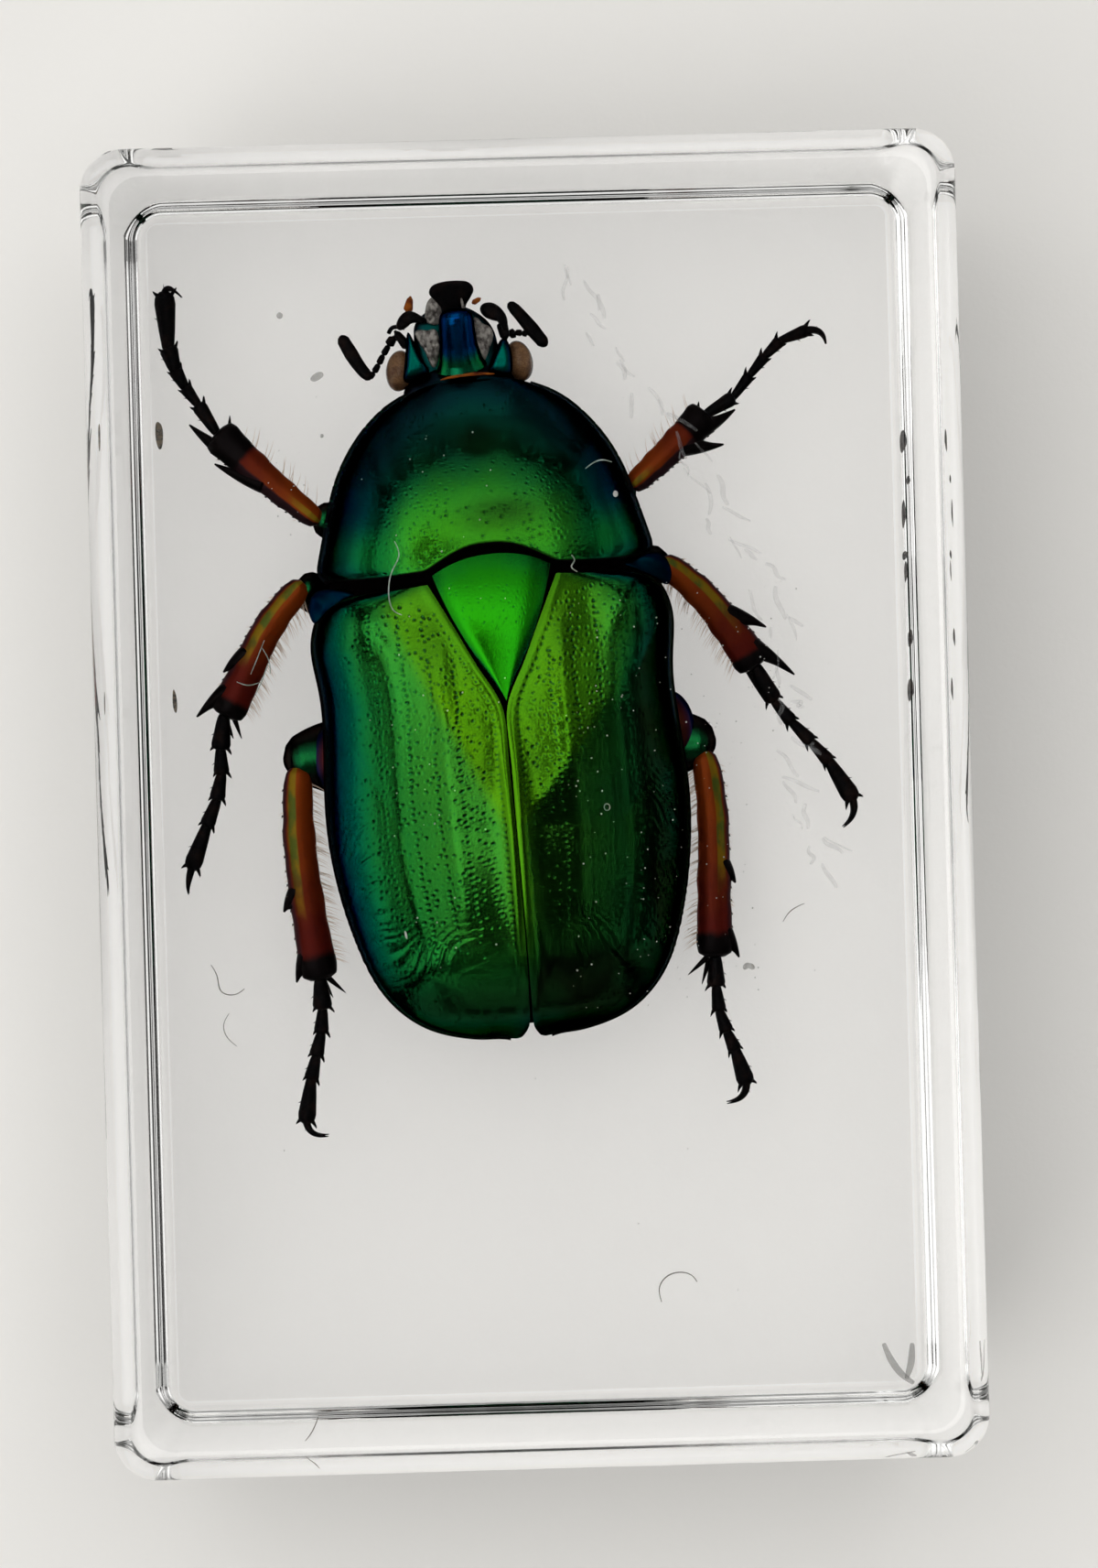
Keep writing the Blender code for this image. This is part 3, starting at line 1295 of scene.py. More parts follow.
@dataclass
class Pronotum(Plate):
    """The shield behind the head."""

    rows: int = 170
    columns: int = 260
    side_line: tuple[tuple[float, float], ...] = (
        (2.75, 8.05), (3.45, 7.75), (4.25, 7.25), (5.45, 6.05), (6.5, 4.3), (7.15, 2.3), (7.58, 0.7),
        (7.62, 0.05), (7.3, -0.28),
    )
    crown: tuple[tuple[float, float], ...] = (
        (-0.5, 3.78), (0.7, 3.82), (2.5, 3.75), (4.5, 3.42), (6.3, 2.78), (7.7, 1.95), (8.6, 1.2),
    )
    front: float = 8.5
    arch: float = 0.74

    def __post_init__(self) -> None:
        """Fits the curves that shape the shield."""
        self.sides = Spline(self.side_line)
        self.track = self.sides.evenly(300)
        self.height = profile(*self.crown)
        self.across, self.way = way_over(7.0, 4.0, 2.3, 600)

    def surface(self, u: np.ndarray, t: np.ndarray) -> np.ndarray:
        """The outer face without its relief.

        Args:
            u: Place across it, from 0 to 1.
            t: Place along it, from 0 to 1.

        Returns:
            Points, in millimetres, in the beetle's frame.
        """
        at = self.sides(np.interp(t, np.linspace(0, 1, len(self.track)), self.track))
        half, y_side = at[..., 0], at[..., 1]
        place = 2 * np.clip(u, 0, 1) - 1
        share = np.interp(np.abs(place), self.way, self.across)
        y_mid = self.front + (self.arch - self.front) * np.clip(t, 0, 1)
        shelf = np.clip(1 - (share / 0.42) ** 2.4, 0, 1) ** 1.5
        hind = 1 - shelf + 0.1 * np.sin(math.pi * np.clip((share - 0.4) / 0.6, 0, 1))
        late = step(t, 0.45, 1.0)
        bow = (1 - late) * share**2 + late * hind
        y = y_mid + (y_side - y_mid) * bow
        low = -0.25 + 0.35 * step(y_side, 5.5, 8.2)
        z = low + (self.height(y) - low) * dome(share, 2.6 + 1.6 * step(t, 0.2, 0.9), 1.9)
        return np.stack([np.sign(place) * share * half, y, z], axis=-1)

    def relief(self, u: np.ndarray, t: np.ndarray, points: np.ndarray) -> np.ndarray:
        """Bead round the sides and a soft dip each side of the middle.

        Args:
            u: Place across it, from 0 to 1.
            t: Place along it, from 0 to 1.
            points: The plain shape's points.

        Returns:
            How far the face stands out at each.
        """
        x, y = points[..., 0], points[..., 1]
        side = np.minimum(u, 1 - u)
        bead = swell(side, 0.0, 0.016) * 0.1
        hind = swell(t, 1.0, 0.02) * 0.05
        dips = -swell(np.abs(x), 2.2, 1.6) * swell(y, 5.2, 1.6) * 0.05
        dips = dips - swell(x, 0.2, 2.4) * swell(y, 2.0, 1.1) * 0.06
        return bead + hind + dips - swell(x, 0.0, 0.9) * swell(y, 5.6, 0.9) * 0.05

    def pits(self) -> np.ndarray:
        """Fine pits, thicker towards the sides.

        Returns:
            Their x, y and radius.
        """
        draw = np.random.default_rng(11)
        kept = []
        for x, y in scattered(12, (-7.2, -0.2, 7.2, 8.0), 0.34):
            middle = swell(x, 0.0, 3.5) * 0.8
            if draw.random() > middle:
                kept.append((x, y, draw.uniform(0.055, 0.085)))
        return np.array(kept)

    def paint(self, u: np.ndarray, t: np.ndarray, points: np.ndarray) -> dict[str, np.ndarray]:
        """The dark hind edge, the green corners, and painted shade: painted dark reflections on the middle and a
        darker front.

        Args:
            u: Place across it, from 0 to 1; not used.
            t: Place along it, from 0 to 1.
            points: The plain shape's points.

        Returns:
            Numbers that the finish reads, by name.
        """
        x, y = points[..., 0], points[..., 1]
        # Painted shade: soft painted dark reflections on the middle, and the front and its front sides painted
        # darker as a painted dark reflection.
        dark_reflections = swell(x, 0.9, 3.2) * swell(y, 2.2, 1.3) * 0.72 + swell(x, -0.1, 1.0) * swell(y, 5.55, 0.85) * 0.6
        front = step(y, 2.8, 5.4) * 0.42 + step(np.abs(x), 4.6, 7.0) * step(y, 2.2, 4.5) * 0.35
        corners = swell(np.abs(x), 5.3, 1.7) * swell(y, 0.7, 1.5)
        return {
            "rim": np.clip(step(t, 0.97, 0.995), 0, 1),
            "dusk": np.clip(dark_reflections + front, 0, 0.75),
            "green": corners * 0.9,
        }


@dataclass
class Scutellum(Plate):
    """The small triangle between the wing cases."""

    rows: int = 110
    columns: int = 90
    base: float = -0.42
    arch: float = 0.72
    tip: float = -6.42
    half: float = 2.72
    crown: Spline = field(default_factory=lambda: profile(
        (-6.6, 4.05), (-4.0, 4.12), (-1.6, 3.98), (-0.6, 3.8), (0.6, 3.45)))

    def surface(self, u: np.ndarray, t: np.ndarray) -> np.ndarray:
        """The outer face without its relief.

        Args:
            u: Place across it, from 0 to 1.
            t: Place along it, from 0 to 1.

        Returns:
            Points, in millimetres, in the beetle's frame.
        """
        t = np.clip(t, 0, 1)
        place = 2 * np.clip(u, 0, 1) - 1
        base = self.base + self.arch * (1 - np.abs(place) ** 2.2)
        y = base + (self.tip - base) * t
        half = self.half * (1 - t) ** 0.9 * (1 + 0.1 * np.sin(math.pi * t)) + 0.015
        x = place * half
        z = self.crown(y) - 0.02 * x**2 - 0.1 * np.abs(place) ** 6
        return np.stack([x, y, z], axis=-1)

    def pits(self) -> np.ndarray:
        """A few fine pits near the base; see Plate."""
        spots = scattered(5, (-2.2, -3.0, 2.2, -0.8), 0.42)
        return np.array([(x, y, 0.05) for x, y in spots if abs(x) < 2.3 * (1 + (y + 0.8) / 6)])

    def paint(self, u: np.ndarray, t: np.ndarray, points: np.ndarray) -> dict[str, np.ndarray]:
        """The dark edge beside the wing cases; see Plate."""
        side = np.minimum(u, 1 - u)
        return {"rim": np.clip(1 - step(side, 0.0, 0.02), 0, 1)}


@dataclass
class SidePlates:
    """The small plates at the wing cases' front corners and over the hind hips."""

    shoulder: tuple[tuple[float, float], ...] = (
        (5.9, -0.75), (7.0, -0.45), (8.1, -0.4), (8.45, -1.3), (8.2, -2.1), (7.5, -1.5),
    )
    shoulder_thick: float = 0.2
    hip_spots: tuple[Point, Point] = ((-7.95, -8.1, -2.3), (7.95, -8.3, -2.3))
    hip_size: Point = (0.95, 1.55, 0.7)
    hip_turn: float = 6

    def build(self) -> list[tuple[bpy.types.Object, str]]:
        """Makes both pairs of plates.

        Returns:
            Each pair with its slot.
        """
        shoulders, hips = Mould(), Mould()
        for side, spot in zip((-1, 1), self.hip_spots):
            outline = [(side * x, y) for x, y in self.shoulder]
            shoulders.pillow(outline, self.shoulder_thick,
                             lambda x, y: 1.35 - 0.16 * (abs(x) - 6) + 0.05 * math.sin(4 * x + 5 * y))
            hips.blob(spot, self.hip_size, side * self.hip_turn, 40, 26)
        blue = Cuticle(name="cuticle_shoulder", shade=Shade.SHOULDER, roughness=0.32)
        copper = Cuticle(name="cuticle_hip", shade=Shade.COPPER, roughness=0.3)
        return [(shoulders.cast("shoulder_plates", blue), blue.slot),
                (hips.cast("hip_plates", copper), copper.slot)]


# --- Trunk, head and legs ---


@dataclass(frozen=True)
class LegChitin(Finish):
    """Copper-red shin with a gold stripe, a brown outer edge and a black end."""

    name: str = "leg_chitin"
    slot: str = "leg_chitin"
    black_from: float = 0.86
    gold_until: float = 0.75
    stripe: float = 0.42
    edge_from: float = 0.66
    edge: Colour = (0.035, 0.008, 0.01)

    def lay(self, graph: Graph) -> None:
        """Builds the nodes.

        Args:
            graph: The empty node tree.
        """
        along, side = graph.attribute("along"), graph.attribute("side")
        patch = graph.noise(1.3, 3.0, (1.0, 0.6, 1.0))
        grain = graph.noise(11.0, 2.0)
        wander = (patch - 0.5) * 0.35
        red = graph.blend((along * 0.9 + wander).rise(0.1, 0.8), (0.2, 0.034, 0.003), (0.08, 0.007, 0.004))
        gold = graph.blend(patch.rise(0.4, 0.6), (0.2, 0.12, 0.006), (0.075, 0.095, 0.012))
        fade = 1.0 - (along + wander).rise(self.gold_until - 0.35, self.gold_until)
        near = (1.0 - ((side + wander * 0.4 - self.stripe) / 0.3) ** 2.0).clamped()
        colour = graph.blend((near * 1.6).clamped() * fade, red, gold)
        colour = graph.blend((side + wander * 0.5).rise(self.edge_from, self.edge_from + 0.2), colour, self.edge)
        black = (along + wander * 0.18).rise(self.black_from, self.black_from + 0.05)
        colour = graph.blend(black, colour, (0.0035, 0.0022, 0.0024))
        pore = graph.cells(5.0).rise(0.0, 0.22)
        graph.principled(
            Base_Color=colour,
            Metallic=0.3,
            Roughness=0.33 + (grain - 0.5) * 0.2,
            Specular_IOR_Level=0.04,
            Normal=graph.bump(pore * 0.5 + grain * 0.5, 0.012),
        )


@dataclass(frozen=True)
class EyeFacets(Finish):
    """Amber eye with fine facets, darker in soft patches."""

    name: str = "eye_facets"
    slot: str = "eye"

    def lay(self, graph: Graph) -> None:
        """Builds the nodes.

        Args:
            graph: The empty node tree.
        """
        cloud = graph.noise(0.9, 3.0)
        facet = graph.cells(16.0)
        colour = graph.blend(cloud.rise(0.35, 0.7), (0.24, 0.125, 0.055), (0.07, 0.028, 0.014))
        graph.principled(
            Base_Color=graph.blend(facet.rise(0.25, 0.6) * 0.4, colour, (0.03, 0.012, 0.008)),
            Roughness=0.25,
            Specular_IOR_Level=0.2,
            Normal=graph.bump(facet, 0.008),
        )


@dataclass(frozen=True)
class AirFilm(Finish):
    """Thin silvery skin of air between resin and cuticle, crinkled and mottled."""

    name: str = "air_film"
    slot: str = "hair"
    light: Colour = (0.24, 0.225, 0.205)
    dull: Colour = (0.055, 0.046, 0.042)

    def lay(self, graph: Graph) -> None:
        """Builds the nodes.

        Args:
            graph: The empty node tree.
        """
        mottle = graph.noise(3.4, 4.0)
        crinkle = graph.cells(5.0)
        graph.principled(
            Base_Color=graph.blend(mottle.rise(0.4, 0.66), self.light, self.dull),
            Metallic=0.55,
            Roughness=0.42,
            Normal=graph.bump(crinkle * 0.6 + mottle * 0.4, 0.06),
        )


@dataclass(frozen=True)
class PaleHair(Finish):
    """Fine translucent bristles and stray fibres."""

    name: str = "pale_hair"
    slot: str = "hair"
    colour: Colour = (0.6, 0.42, 0.3)
    tip: Colour = (0.78, 0.62, 0.48)

    def lay(self, graph: Graph) -> None:
        """Builds the nodes.

        Args:
            graph: The empty node tree.
        """
        tone = graph.noise(4.0, 2.0)
        graph.principled(
            Base_Color=graph.blend(tone.rise(0.3, 0.7), self.colour, self.tip),
            Roughness=0.45,
            Normal=graph.bump(tone, 0.004),
        )


@dataclass
class Trunk:
    """The body under the plates: chest, ringed belly and the sockets of the legs."""

    rows: int = 260
    sides: int = 96
    half: Spline = field(default_factory=lambda: profile(
        (-21.3, 0.5), (-20.3, 3.4), (-18.5, 5.4), (-16.0, 6.5), (-12.0, 7.25), (-7.0, 7.3), (-3.0, 7.4),
        (-1.0, 7.5),
        (0.2, 7.0), (2.5, 6.5), (4.5, 5.8), (6.2, 4.6), (7.6, 3.2), (8.4, 2.2)))
    crown: Spline = field(default_factory=lambda: profile(
        (-21.3, -0.4), (-20.3, 0.2), (-18.5, 0.9), (-15.0, 1.6), (-10.0, 2.0), (-5.0, 2.3), (-1.0, 3.05),
        (1.5, 3.0),
        (4.5, 2.5), (6.5, 1.75), (8.4, 0.3)))
    belly: Spline = field(default_factory=lambda: profile(
        (-21.3, -0.7), (-20.3, -2.2), (-18.0, -3.3), (-14.0, -3.9), (-10.0, -4.2), (-6.0, -4.7), (-2.5, -4.9),
        (0.0, -4.2), (3.0, -3.4), (6.0, -2.6), (8.4, -1.2)))
    ring_ends: tuple[float, ...] = (-10.6, -12.9, -15.1, -17.1, -18.9, -20.3)

    def build(self) -> bpy.types.Object:
        """Makes the trunk.

        Returns:
            The piece.
        """
        y = np.linspace(-21.25, 8.35, self.rows)[:, None]
        turn = np.linspace(0, 2 * math.pi, self.sides, endpoint=False)[None]
        wide, up, down = self.half(y), self.crown(y), self.belly(y)
        level = -0.9 + 0.5 * step(y, -3.0, 2.0)
        x = wide * np.sign(np.cos(turn)) * np.abs(np.cos(turn)) ** 0.92
        rise = np.sin(turn)
        z = level + np.where(rise > 0, (up - level) * np.abs(rise) ** 1.05, (down - level) * np.abs(rise) ** 0.86)
        under = step(-rise, 0.0, 0.25)
        groove = sum(swell(y + 0.1 * np.cos(turn) ** 2, end, 0.22) for end in self.ring_ends)
        lap = sum(np.where((y > end) & (y < end + 2.2), (y - end) / 2.2, 0.0) for end in self.ring_ends)
        chest = swell(x, 0.0, 0.25) * step(y, -9.0, -8.0) * (1 - step(y, -1.0, 0.5))
        seam = swell(y + np.abs(x) * 0.25, -2.0, 0.25) + swell(y + np.abs(x) * 0.12, -8.9, 0.25)
        z = z + under * (0.16 * groove - 0.1 * lap + 0.14 * chest + 0.14 * np.clip(seam, 0, 1))
        points = np.stack([x, np.broadcast_to(y, x.shape), z], axis=-1)
        mould = Mould()
        # The trunk's top, seen only through the gaps between the plates, is painted near-black as painted shade;
        # the grooves between the belly rings are painted near-black too.
        black = np.clip(groove * under + 1 - under, 0, 1)
        mould.sheet(points[::-1], closed=True, caps=True, rim=black[::-1])
        peg = np.array([(0, -3.6, -4.6), (0, -2.0, -5.0), (0, -0.6, -4.9), (0, 0.3, -4.5)])
        spine = Spline(peg)(np.linspace(0, 1, 24))
        swellings = 0.75 + 0.25 * np.sin(np.linspace(0, math.pi, 24))
        mould.tube(spine, swellings * np.linspace(1.1, 0.8, 24), swellings * 0.55, sides=20)
        for side in (-1, 1):
            for spot, size, lean in (
                ((1.9 * side, 3.2, -3.0), (1.7, 1.0, 1.0), 35),
                ((2.6 * side, -1.6, -4.1), (1.9, 1.1, 1.0), 20),
                ((3.2 * side, -8.0, -3.9), (3.2, 1.25, 0.95), 8),
            ):
                mould.blob(spot, size, -lean * side)
        return mould.cast("trunk", Cuticle(name="cuticle_trunk", shade=Shade.UNDERSIDE, roughness=0.3))


@dataclass
class Head:
    """The head, with its flared front horn, brow horn, cheeks, eyes, feelers and mouth feelers."""

    reach: float = 0.27

    def capsule(self) -> Mould:
        """The skull, with the flat shield in front of it.

        Returns:
            Its mould.
        """
        mould = Mould()
        mould.blob((-0.25, 7.9, -0.2), (2.65, 1.65, 1.35), 0.0, 40, 24)
        shield = [(-2.35, 8.6), (-2.15, 10.4), (-2.1, 11.3), (-1.2, 11.9), (-0.2, 12.0), (0.75, 11.6), (1.55, 10.8),
                  (1.7, 9.6), (1.75, 8.5), (-0.3, 8.1)]
        mould.pillow(shield, 0.28, lambda x, y: 0.35 + 0.02 * (y - 9))
        return mould

    def front_horn(self) -> Mould:
        """The black horn at the front edge, flared at its end.

        Returns:
            Its mould.
        """
        outline = [(-1.28, 12.66), (-1.08, 12.88), (-0.5, 12.98), (0.34, 12.92), (0.66, 12.76), (0.8, 12.44),
                   (0.58, 12.1), (0.34, 11.8), (0.24, 11.35), (-0.2, 11.15), (-0.64, 11.35), (-0.78, 11.8),
                   (-1.04, 12.14), (-1.3, 12.42)]
        mould = Mould()
        mould.pillow(outline, 0.26, lambda x, y: 1.15 + 0.42 * (y - 11.4) + 0.12 * (x + 0.24) ** 2)
        return mould

    def brow_horn(self) -> Mould:
        """The stout blue horn between the eyes.

        Returns:
            Its mould.
        """
        spine = Spline([(-0.14, 9.02, 0.8), (-0.18, 9.7, 1.15), (-0.2, 10.6, 1.55), (-0.19, 11.66, 1.95)])
        t = np.linspace(0, 1, 90)
        half = np.interp(t, [0, 0.12, 0.4, 0.8, 0.9, 0.96, 0.99, 1.0],
                         [1.18, 1.02, 0.86, 0.8, 0.74, 0.58, 0.34, 0.1])
        mould = Mould()
        mould.tube(spine(t), half, half * 0.72, sides=72, green=(1 - step(t, 0.14, 0.36)) * 0.8)
        return mould

    def collar(self) -> Mould:
        """The thin amber fringe where the head enters the shield.

        Returns:
            Its mould.
        """
        t = np.linspace(-1, 1, 50)
        spine = np.column_stack([0.05 + 1.25 * t, 8.62 - 0.1 * t**2, 1.52 - 0.1 * t**2])
        mould = Mould()
        mould.tube(spine, 0.075 * np.sqrt(1.03 - t**2), 0.06 * np.sqrt(1.03 - t**2), sides=10)
        return mould

    def cheeks(self) -> Mould:
        """The two ridges beside the eyes.

        Returns:
            Its mould.
        """
        left = [(-2.94, 8.45), (-2.72, 9.4), (-2.55, 10.4), (-2.41, 11.05), (-2.12, 10.3), (-1.86, 9.5),
                (-1.5, 8.75)]
        right = [(2.1, 8.2), (2.26, 9.2), (2.15, 10.0), (1.88, 10.2), (1.56, 9.8), (1.2, 9.1), (0.98, 8.55)]
        mould = Mould()
        for outline in (left, right):
            mould.pillow(outline, 0.5, lambda x, y: 0.75)
        return mould

    def air(self) -> Mould:
        """The silvery air film over the front shield.

        Returns:
            Its mould.
        """
        upper = [(-1.62, 11.25), (-1.5, 11.85), (-1.32, 12.28), (-0.98, 12.42), (-0.8, 12.0), (-0.72, 11.3),
                 (-1.05, 11.0)]
        left = [(-2.15, 10.85), (-1.85, 10.98), (-1.55, 10.85), (-1.05, 10.95), (-0.98, 10.0), (-1.18, 9.35),
                (-1.42, 9.05), (-1.62, 9.45), (-1.72, 9.9), (-1.95, 10.3)]
        right = [(0.62, 11.3), (0.9, 11.15), (1.02, 10.9), (1.4, 10.75), (1.52, 10.25), (1.22, 9.7), (0.98, 9.15),
                 (0.78, 9.35), (0.62, 10.2)]
        sliver = [(0.1, 12.15), (0.22, 12.1), (0.28, 11.5), (0.14, 11.4)]
        mould = Mould()
        for lobe in (upper, left, right):
            mould.pillow(lobe, 0.12, lambda x, y: 0.82 + 0.05 * math.sin(5 * x + 3 * y))
        mould.pillow(sliver, 0.06, lambda x, y: 1.72)
        return mould

    def eye(self, side: int) -> Mould:
        """One eye.

        Args:
            side: -1 for the left one and 1 for the right one.

        Returns:
            Its mould.
        """
        mould = Mould()
        spot, turn = ((-2.95, 9.2, -0.05), -12) if side < 0 else ((2.58, 9.05, -0.05), 8)
        mould.blob(spot, (0.62, 0.95, 0.85), turn, 40, 28)
        return mould

    def feeler(self, side: int) -> Mould:
        """One antenna, folded, with its club.

        Args:
            side: -1 for the left one and 1 for the right one.

        Returns:
            Its mould.
        """
        mould = Mould()
        if side < 0:
            joints = [(-2.55, 10.35, 0.1), (-3.05, 10.5, 0.0), (-3.3, 10.15, -0.1), (-3.6, 9.75, -0.2),
                      (-3.85, 9.35, -0.2), (-4.1, 9.0, -0.3), (-4.35, 8.78, -0.3)]
            club = [(-4.28, 8.7, -0.3), (-4.62, 9.15, -0.3), (-5.05, 9.95, -0.3), (-5.45, 10.85, -0.3)]
            extra = [(-2.5, 10.85, 0.2), (-3.1, 10.9, 0.1), (-3.25, 10.7, 0.0)]
        else:
            joints = [(1.95, 10.2, 0.1), (2.25, 10.02, 0.0), (2.55, 10.1, 0.0), (2.85, 10.05, -0.1),
                      (3.1, 9.98, -0.1), (3.3, 10.05, -0.2)]
            club = [(2.4, 11.5, -0.1), (2.75, 11.05, -0.15), (3.3, 10.25, -0.2), (3.92, 9.32, -0.25)]
            extra = [(2.0, 10.35, 0.2), (2.15, 10.6, 0.1)]
        joints, club, extra = (np.array(line) + (0, self.reach, 0) for line in (joints, club, extra))
        for number, (near, far) in enumerate(zip(joints, joints[1:])):
            size = 0.24 if number == 1 else 0.165
            mould.bone(near, far, size * 0.8, size)
        spine = Spline(club)(np.linspace(0, 1, 40))
        t = np.linspace(0, 1, 40)
        half = np.interp(t, [0, 0.04, 0.15, 0.6, 0.9, 0.97, 1.0], [0.06, 0.2, 0.27, 0.33, 0.29, 0.18, 0.04])
        for lift in (-0.17, 0.0, 0.17):
            mould.tube(spine + (0.03 * lift, 0, lift), half * (1 - abs(lift) * 0.3), half * 0.34, sides=18)
        mould.tube(Spline(extra)(np.linspace(0, 1, 12)), 0.1, 0.1, sides=10)
        return mould

    def mouth(self) -> Mould:
        """The dark jaws and mouth feelers that show beside the shield.

        Returns:
            Its mould.
        """
        mould = Mould()
        right = [(0.98, 11.3), (1.15, 11.58), (1.6, 11.6), (2.0, 11.3), (2.25, 10.8), (2.2, 10.3), (1.95, 10.2),
                 (1.85, 10.65), (1.5, 10.75), (1.15, 10.95)]
        mould.pillow([(x, y + self.reach) for x, y in right], 0.3, lambda x, y: 0.45)
        left = [(-2.95, 10.95), (-2.75, 11.35), (-2.4, 11.6), (-2.05, 11.55), (-1.65, 11.25), (-1.35, 11.05),
                (-1.55, 10.9), (-2.15, 11.05), (-2.45, 10.8), (-2.8, 10.7)]
        mould.pillow([(x, y + self.reach) for x, y in left], 0.26, lambda x, y: 0.8)
        mould.bone((-2.95, 11.0, 0.3), (-2.45, 10.2, 0.3), 0.16, 0.26)
        mould.bone((1.95, 10.9, 0.3), (2.05, 10.1, 0.3), 0.28, 0.22)
        return mould

    def palp_tip(self) -> Mould:
        """The amber tip of one mouth feeler.

        Returns:
            Its mould.
        """
        mould = Mould()
        mould.bone((-2.28, 11.85, 0.3), (-2.08, 12.5, 0.2), 0.24, 0.13, 14)
        mould.bone((0.72, 11.9, 0.5), (1.1, 12.08, 0.4), 0.14, 0.1, 10)
        return mould

    def build(self) -> list[tuple[bpy.types.Object, str]]:
        """Makes every piece of the head.

        Returns:
            Each piece with its slot.
        """
        skull = Cuticle(name="cuticle_skull", shade=Shade.SKULL, roughness=0.3)
        horn = Cuticle(name="cuticle_horn", shade=Shade.HORN, roughness=0.22)
        cheek = Cuticle(name="cuticle_cheek", shade=Shade.CHEEK, roughness=0.25)
        dark = DarkChitin()
        amber = DarkChitin(name="amber_chitin", colour=(0.32, 0.085, 0.012), warm=(0.1, 0.02, 0.01))
        made = [
            (self.capsule().cast("head", skull), skull.slot),
            (self.collar().cast("neck_fringe", amber), amber.slot),
            (self.front_horn().cast("front_horn", dark), dark.slot),
            (self.brow_horn().cast("brow_horn", horn), horn.slot),
            (self.cheeks().cast("cheek_ridges", cheek), cheek.slot),
            (self.air().cast("air_film_on_head", AirFilm()), AirFilm().slot),
            (self.mouth().cast("mouth_parts", dark), dark.slot),
            (self.palp_tip().cast("palp_tips", amber), amber.slot),
        ]
        for side, word in ((-1, "left"), (1, "right")):
            made.append((self.eye(side).cast(f"eye_{word}", EyeFacets()), EyeFacets().slot))
            made.append((self.feeler(side).cast(f"feeler_{word}", dark), dark.slot))
        return made


